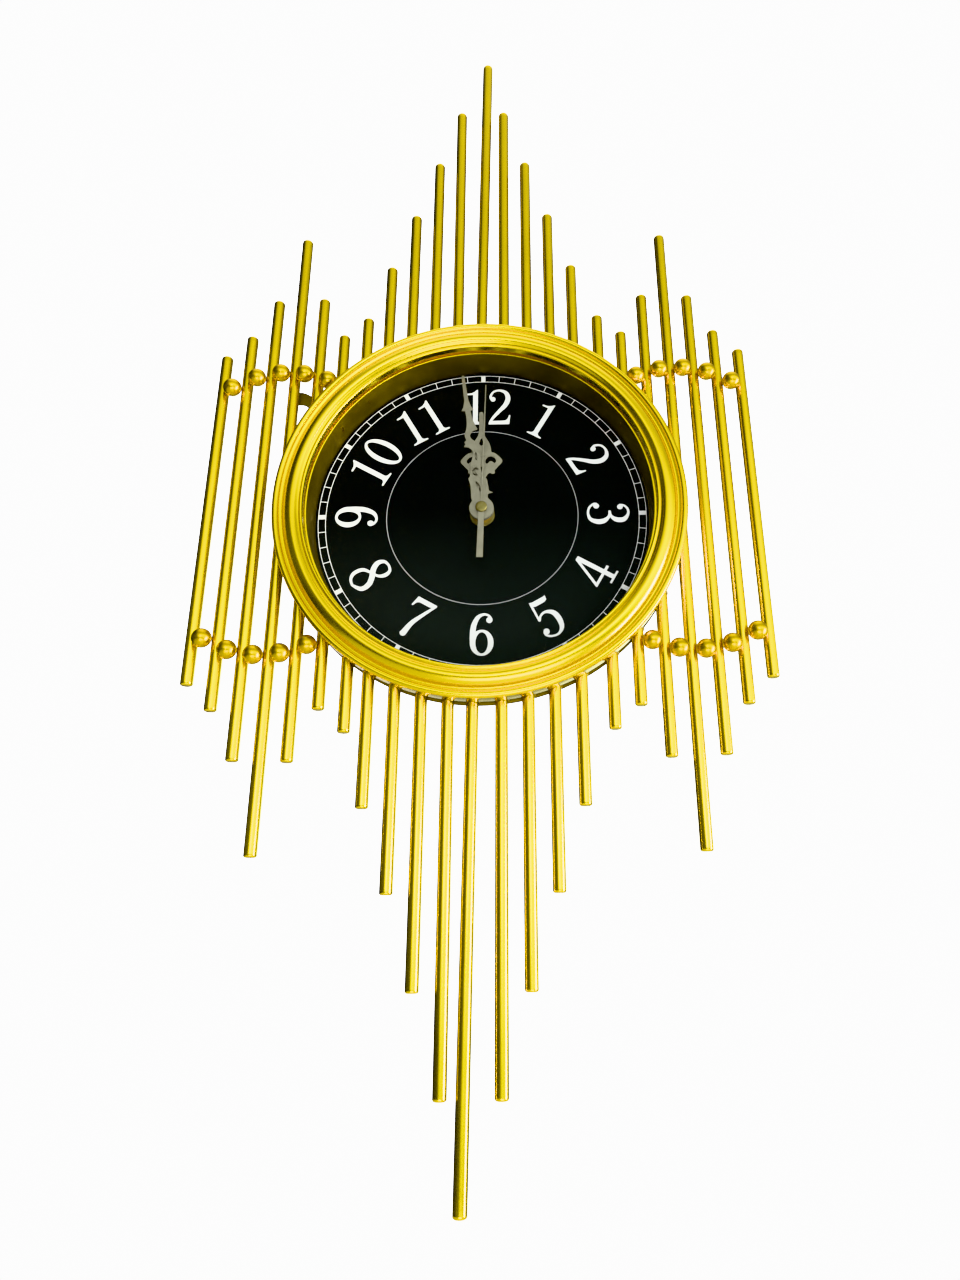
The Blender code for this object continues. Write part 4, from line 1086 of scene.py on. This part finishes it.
def minute_outline():
    """A scrolling vine with thorns on either side that runs out into a barbed needle."""
    right = [(4.6, 7.4), (4.2, 12.0), (4.4, 17.0), (5.0, 21.6), (3.6, 24.4), (3.2, 29.0), (3.9, 34.0),
             (4.3, 39.0), (3.4, 43.6), (2.3, 47.0), (1.8, 49.8), (0.1, 51.6), (-0.8, 54.3), (0.5, 57.0),
             (2.8, 58.0), (4.7, 58.8), (4.2, 60.4), (3.6, 62.2), (2.6, 65.6), (2.1, 70.0)]
    barb_right = [(1.9, 73.9), (3.9, 74.2), (2.6, 77.0), (1.5, 82.0), (1.2, 92.0), (1.0, 101.2),
                  (0.5, 102.3)]
    barb_left = [(-0.5, 102.3), (-1.0, 101.2), (-1.3, 92.0), (-1.5, 82.0), (-2.7, 77.0), (-4.3, 74.2),
                 (-1.9, 73.9)]
    vine_left = [(-1.7, 68.0), (-2.2, 62.2), (-3.4, 58.2), (-4.5, 54.8), (-3.8, 51.4), (-5.2, 50.0),
                 (-4.7, 48.4), (-5.9, 46.4), (-3.6, 45.8), (-1.4, 43.9), (-0.4, 41.2), (-1.4, 37.6),
                 (-2.9, 33.4), (-3.8, 28.6), (-4.6, 24.2), (-5.9, 22.2), (-5.2, 18.0), (-5.5, 11.8),
                 (-5.8, 8.6)]
    boss_right = boss_points(4.6)[:-1]
    boss_left = [(-x, z) for x, z in reversed(boss_points(5.4)[1:])]
    outline = boss_right + spline(right, 3) + barb_right + barb_left + spline(vine_left, 3) + boss_left
    curl = [(-2.6, 26.0), (-2.2, 28.8), (0.2, 30.0), (1.6, 28.4), (0.6, 27.6), (-0.2, 28.4), (-1.0, 26.8),
            (0.6, 24.0), (-1.2, 24.2)]
    leaf = [(-1.4, 19.6), (0.6, 17.4), (1.0, 13.6), (0.4, 10.8), (0.0, 14.6), (-1.2, 16.0)]
    slit = ellipse(1.2, 38.4, 0.8, 3.0, 20)
    return outline, [spline(curl, 3, closed=True), spline(leaf, 4, closed=True), slit]


def second_outline():
    """Thin pointer with a broad tail."""
    half = [(2.1, -35.4), (1.95, -9.8), (1.95, -2.0), (1.2, 2.0), (0.6, 10.0), (0.42, 92.6)]
    return mirrored(half)


def pointer(name, outline, holes, low, high, edge, m):
    """The piece of one hand, turned to the time in the photo."""
    degrees = HAND_ANGLES[name]
    holes = [turned_points(hole, degrees) for hole in holes]
    outline = turned_points(outline, degrees)
    return flat_piece(f"fine_{name}_hand", outline, holes, low, high, m["champagne"], edge)


def bored(shape, radius):
    outline, holes = shape
    return outline, holes + [ellipse(0, 0, radius, radius, 40)]


def make_hands(m):
    hour_low, hour_high = (c.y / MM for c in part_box("hour_hand"))
    hour = pointer("hour", *bored(hour_outline(), HOUR_BORE), hour_low, hour_high, 0.12, m)
    on_body(hour, "hour", "hand_metal", "hour_hand")
    minute_low, minute_high = (c.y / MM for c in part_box("minute_hand"))
    minute = pointer("minute", *bored(minute_outline(), MINUTE_BORE), minute_low, minute_high, 0.12, m)
    on_body(minute, "minute", "hand_metal", "minute_hand")
    second = pointer("second", second_outline(), [], *SECOND_Y, 0.1, m)
    on_body(second, "seconds", "hand_metal", "second_hand")
    section = [(0.0, -36.8), (2.9, -36.8), (3.4, -36.62), (3.7, -36.2), (3.7, -35.0), (3.3, -34.7),
               (0.9, -34.7), (0.0, -34.7)]
    on_body(turned_piece("second_hand_cap", section, 64, m["dark_brass"], 35.0), "seconds", "hand_metal")


def paint_frame(m):
    """Materials of the CAD nodes that keep their own shape."""
    paints = {
        "movement_case": "plastic", "movement_lid": "plastic", "stator_coil": "copper", "rotor": "magnet",
        "intermediate_wheel": "white_plastic", "seconds_wheel": "white_plastic",
        "third_wheel": "white_plastic", "centre_wheel": "brass", "cannon_pinion": "brass",
        "motion_wheel": "white_plastic", "hour_wheel": "white_plastic", "hour_washer": "brass",
        "knob_washer": "brass"}
    for node, key in paints.items():
        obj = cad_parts[node]
        obj.data.materials.clear()
        obj.data.materials.append(m[key])
        for polygon in obj.data.polygons:
            polygon.material_index = 0


def main():
    bpy.context.scene.view_settings.view_transform = "Khronos PBR Neutral"
    make_lights()
    make_camera()
    m = make_materials()
    for make in (make_stage, paint_frame, make_rods, make_balls, make_bezel, make_drum, make_drum_welds,
                 make_support_ring, make_glass_and_dial, make_back_cover, make_battery, make_nut,
                 make_knob, make_track, make_numerals, make_hands):
        make(m)


main()
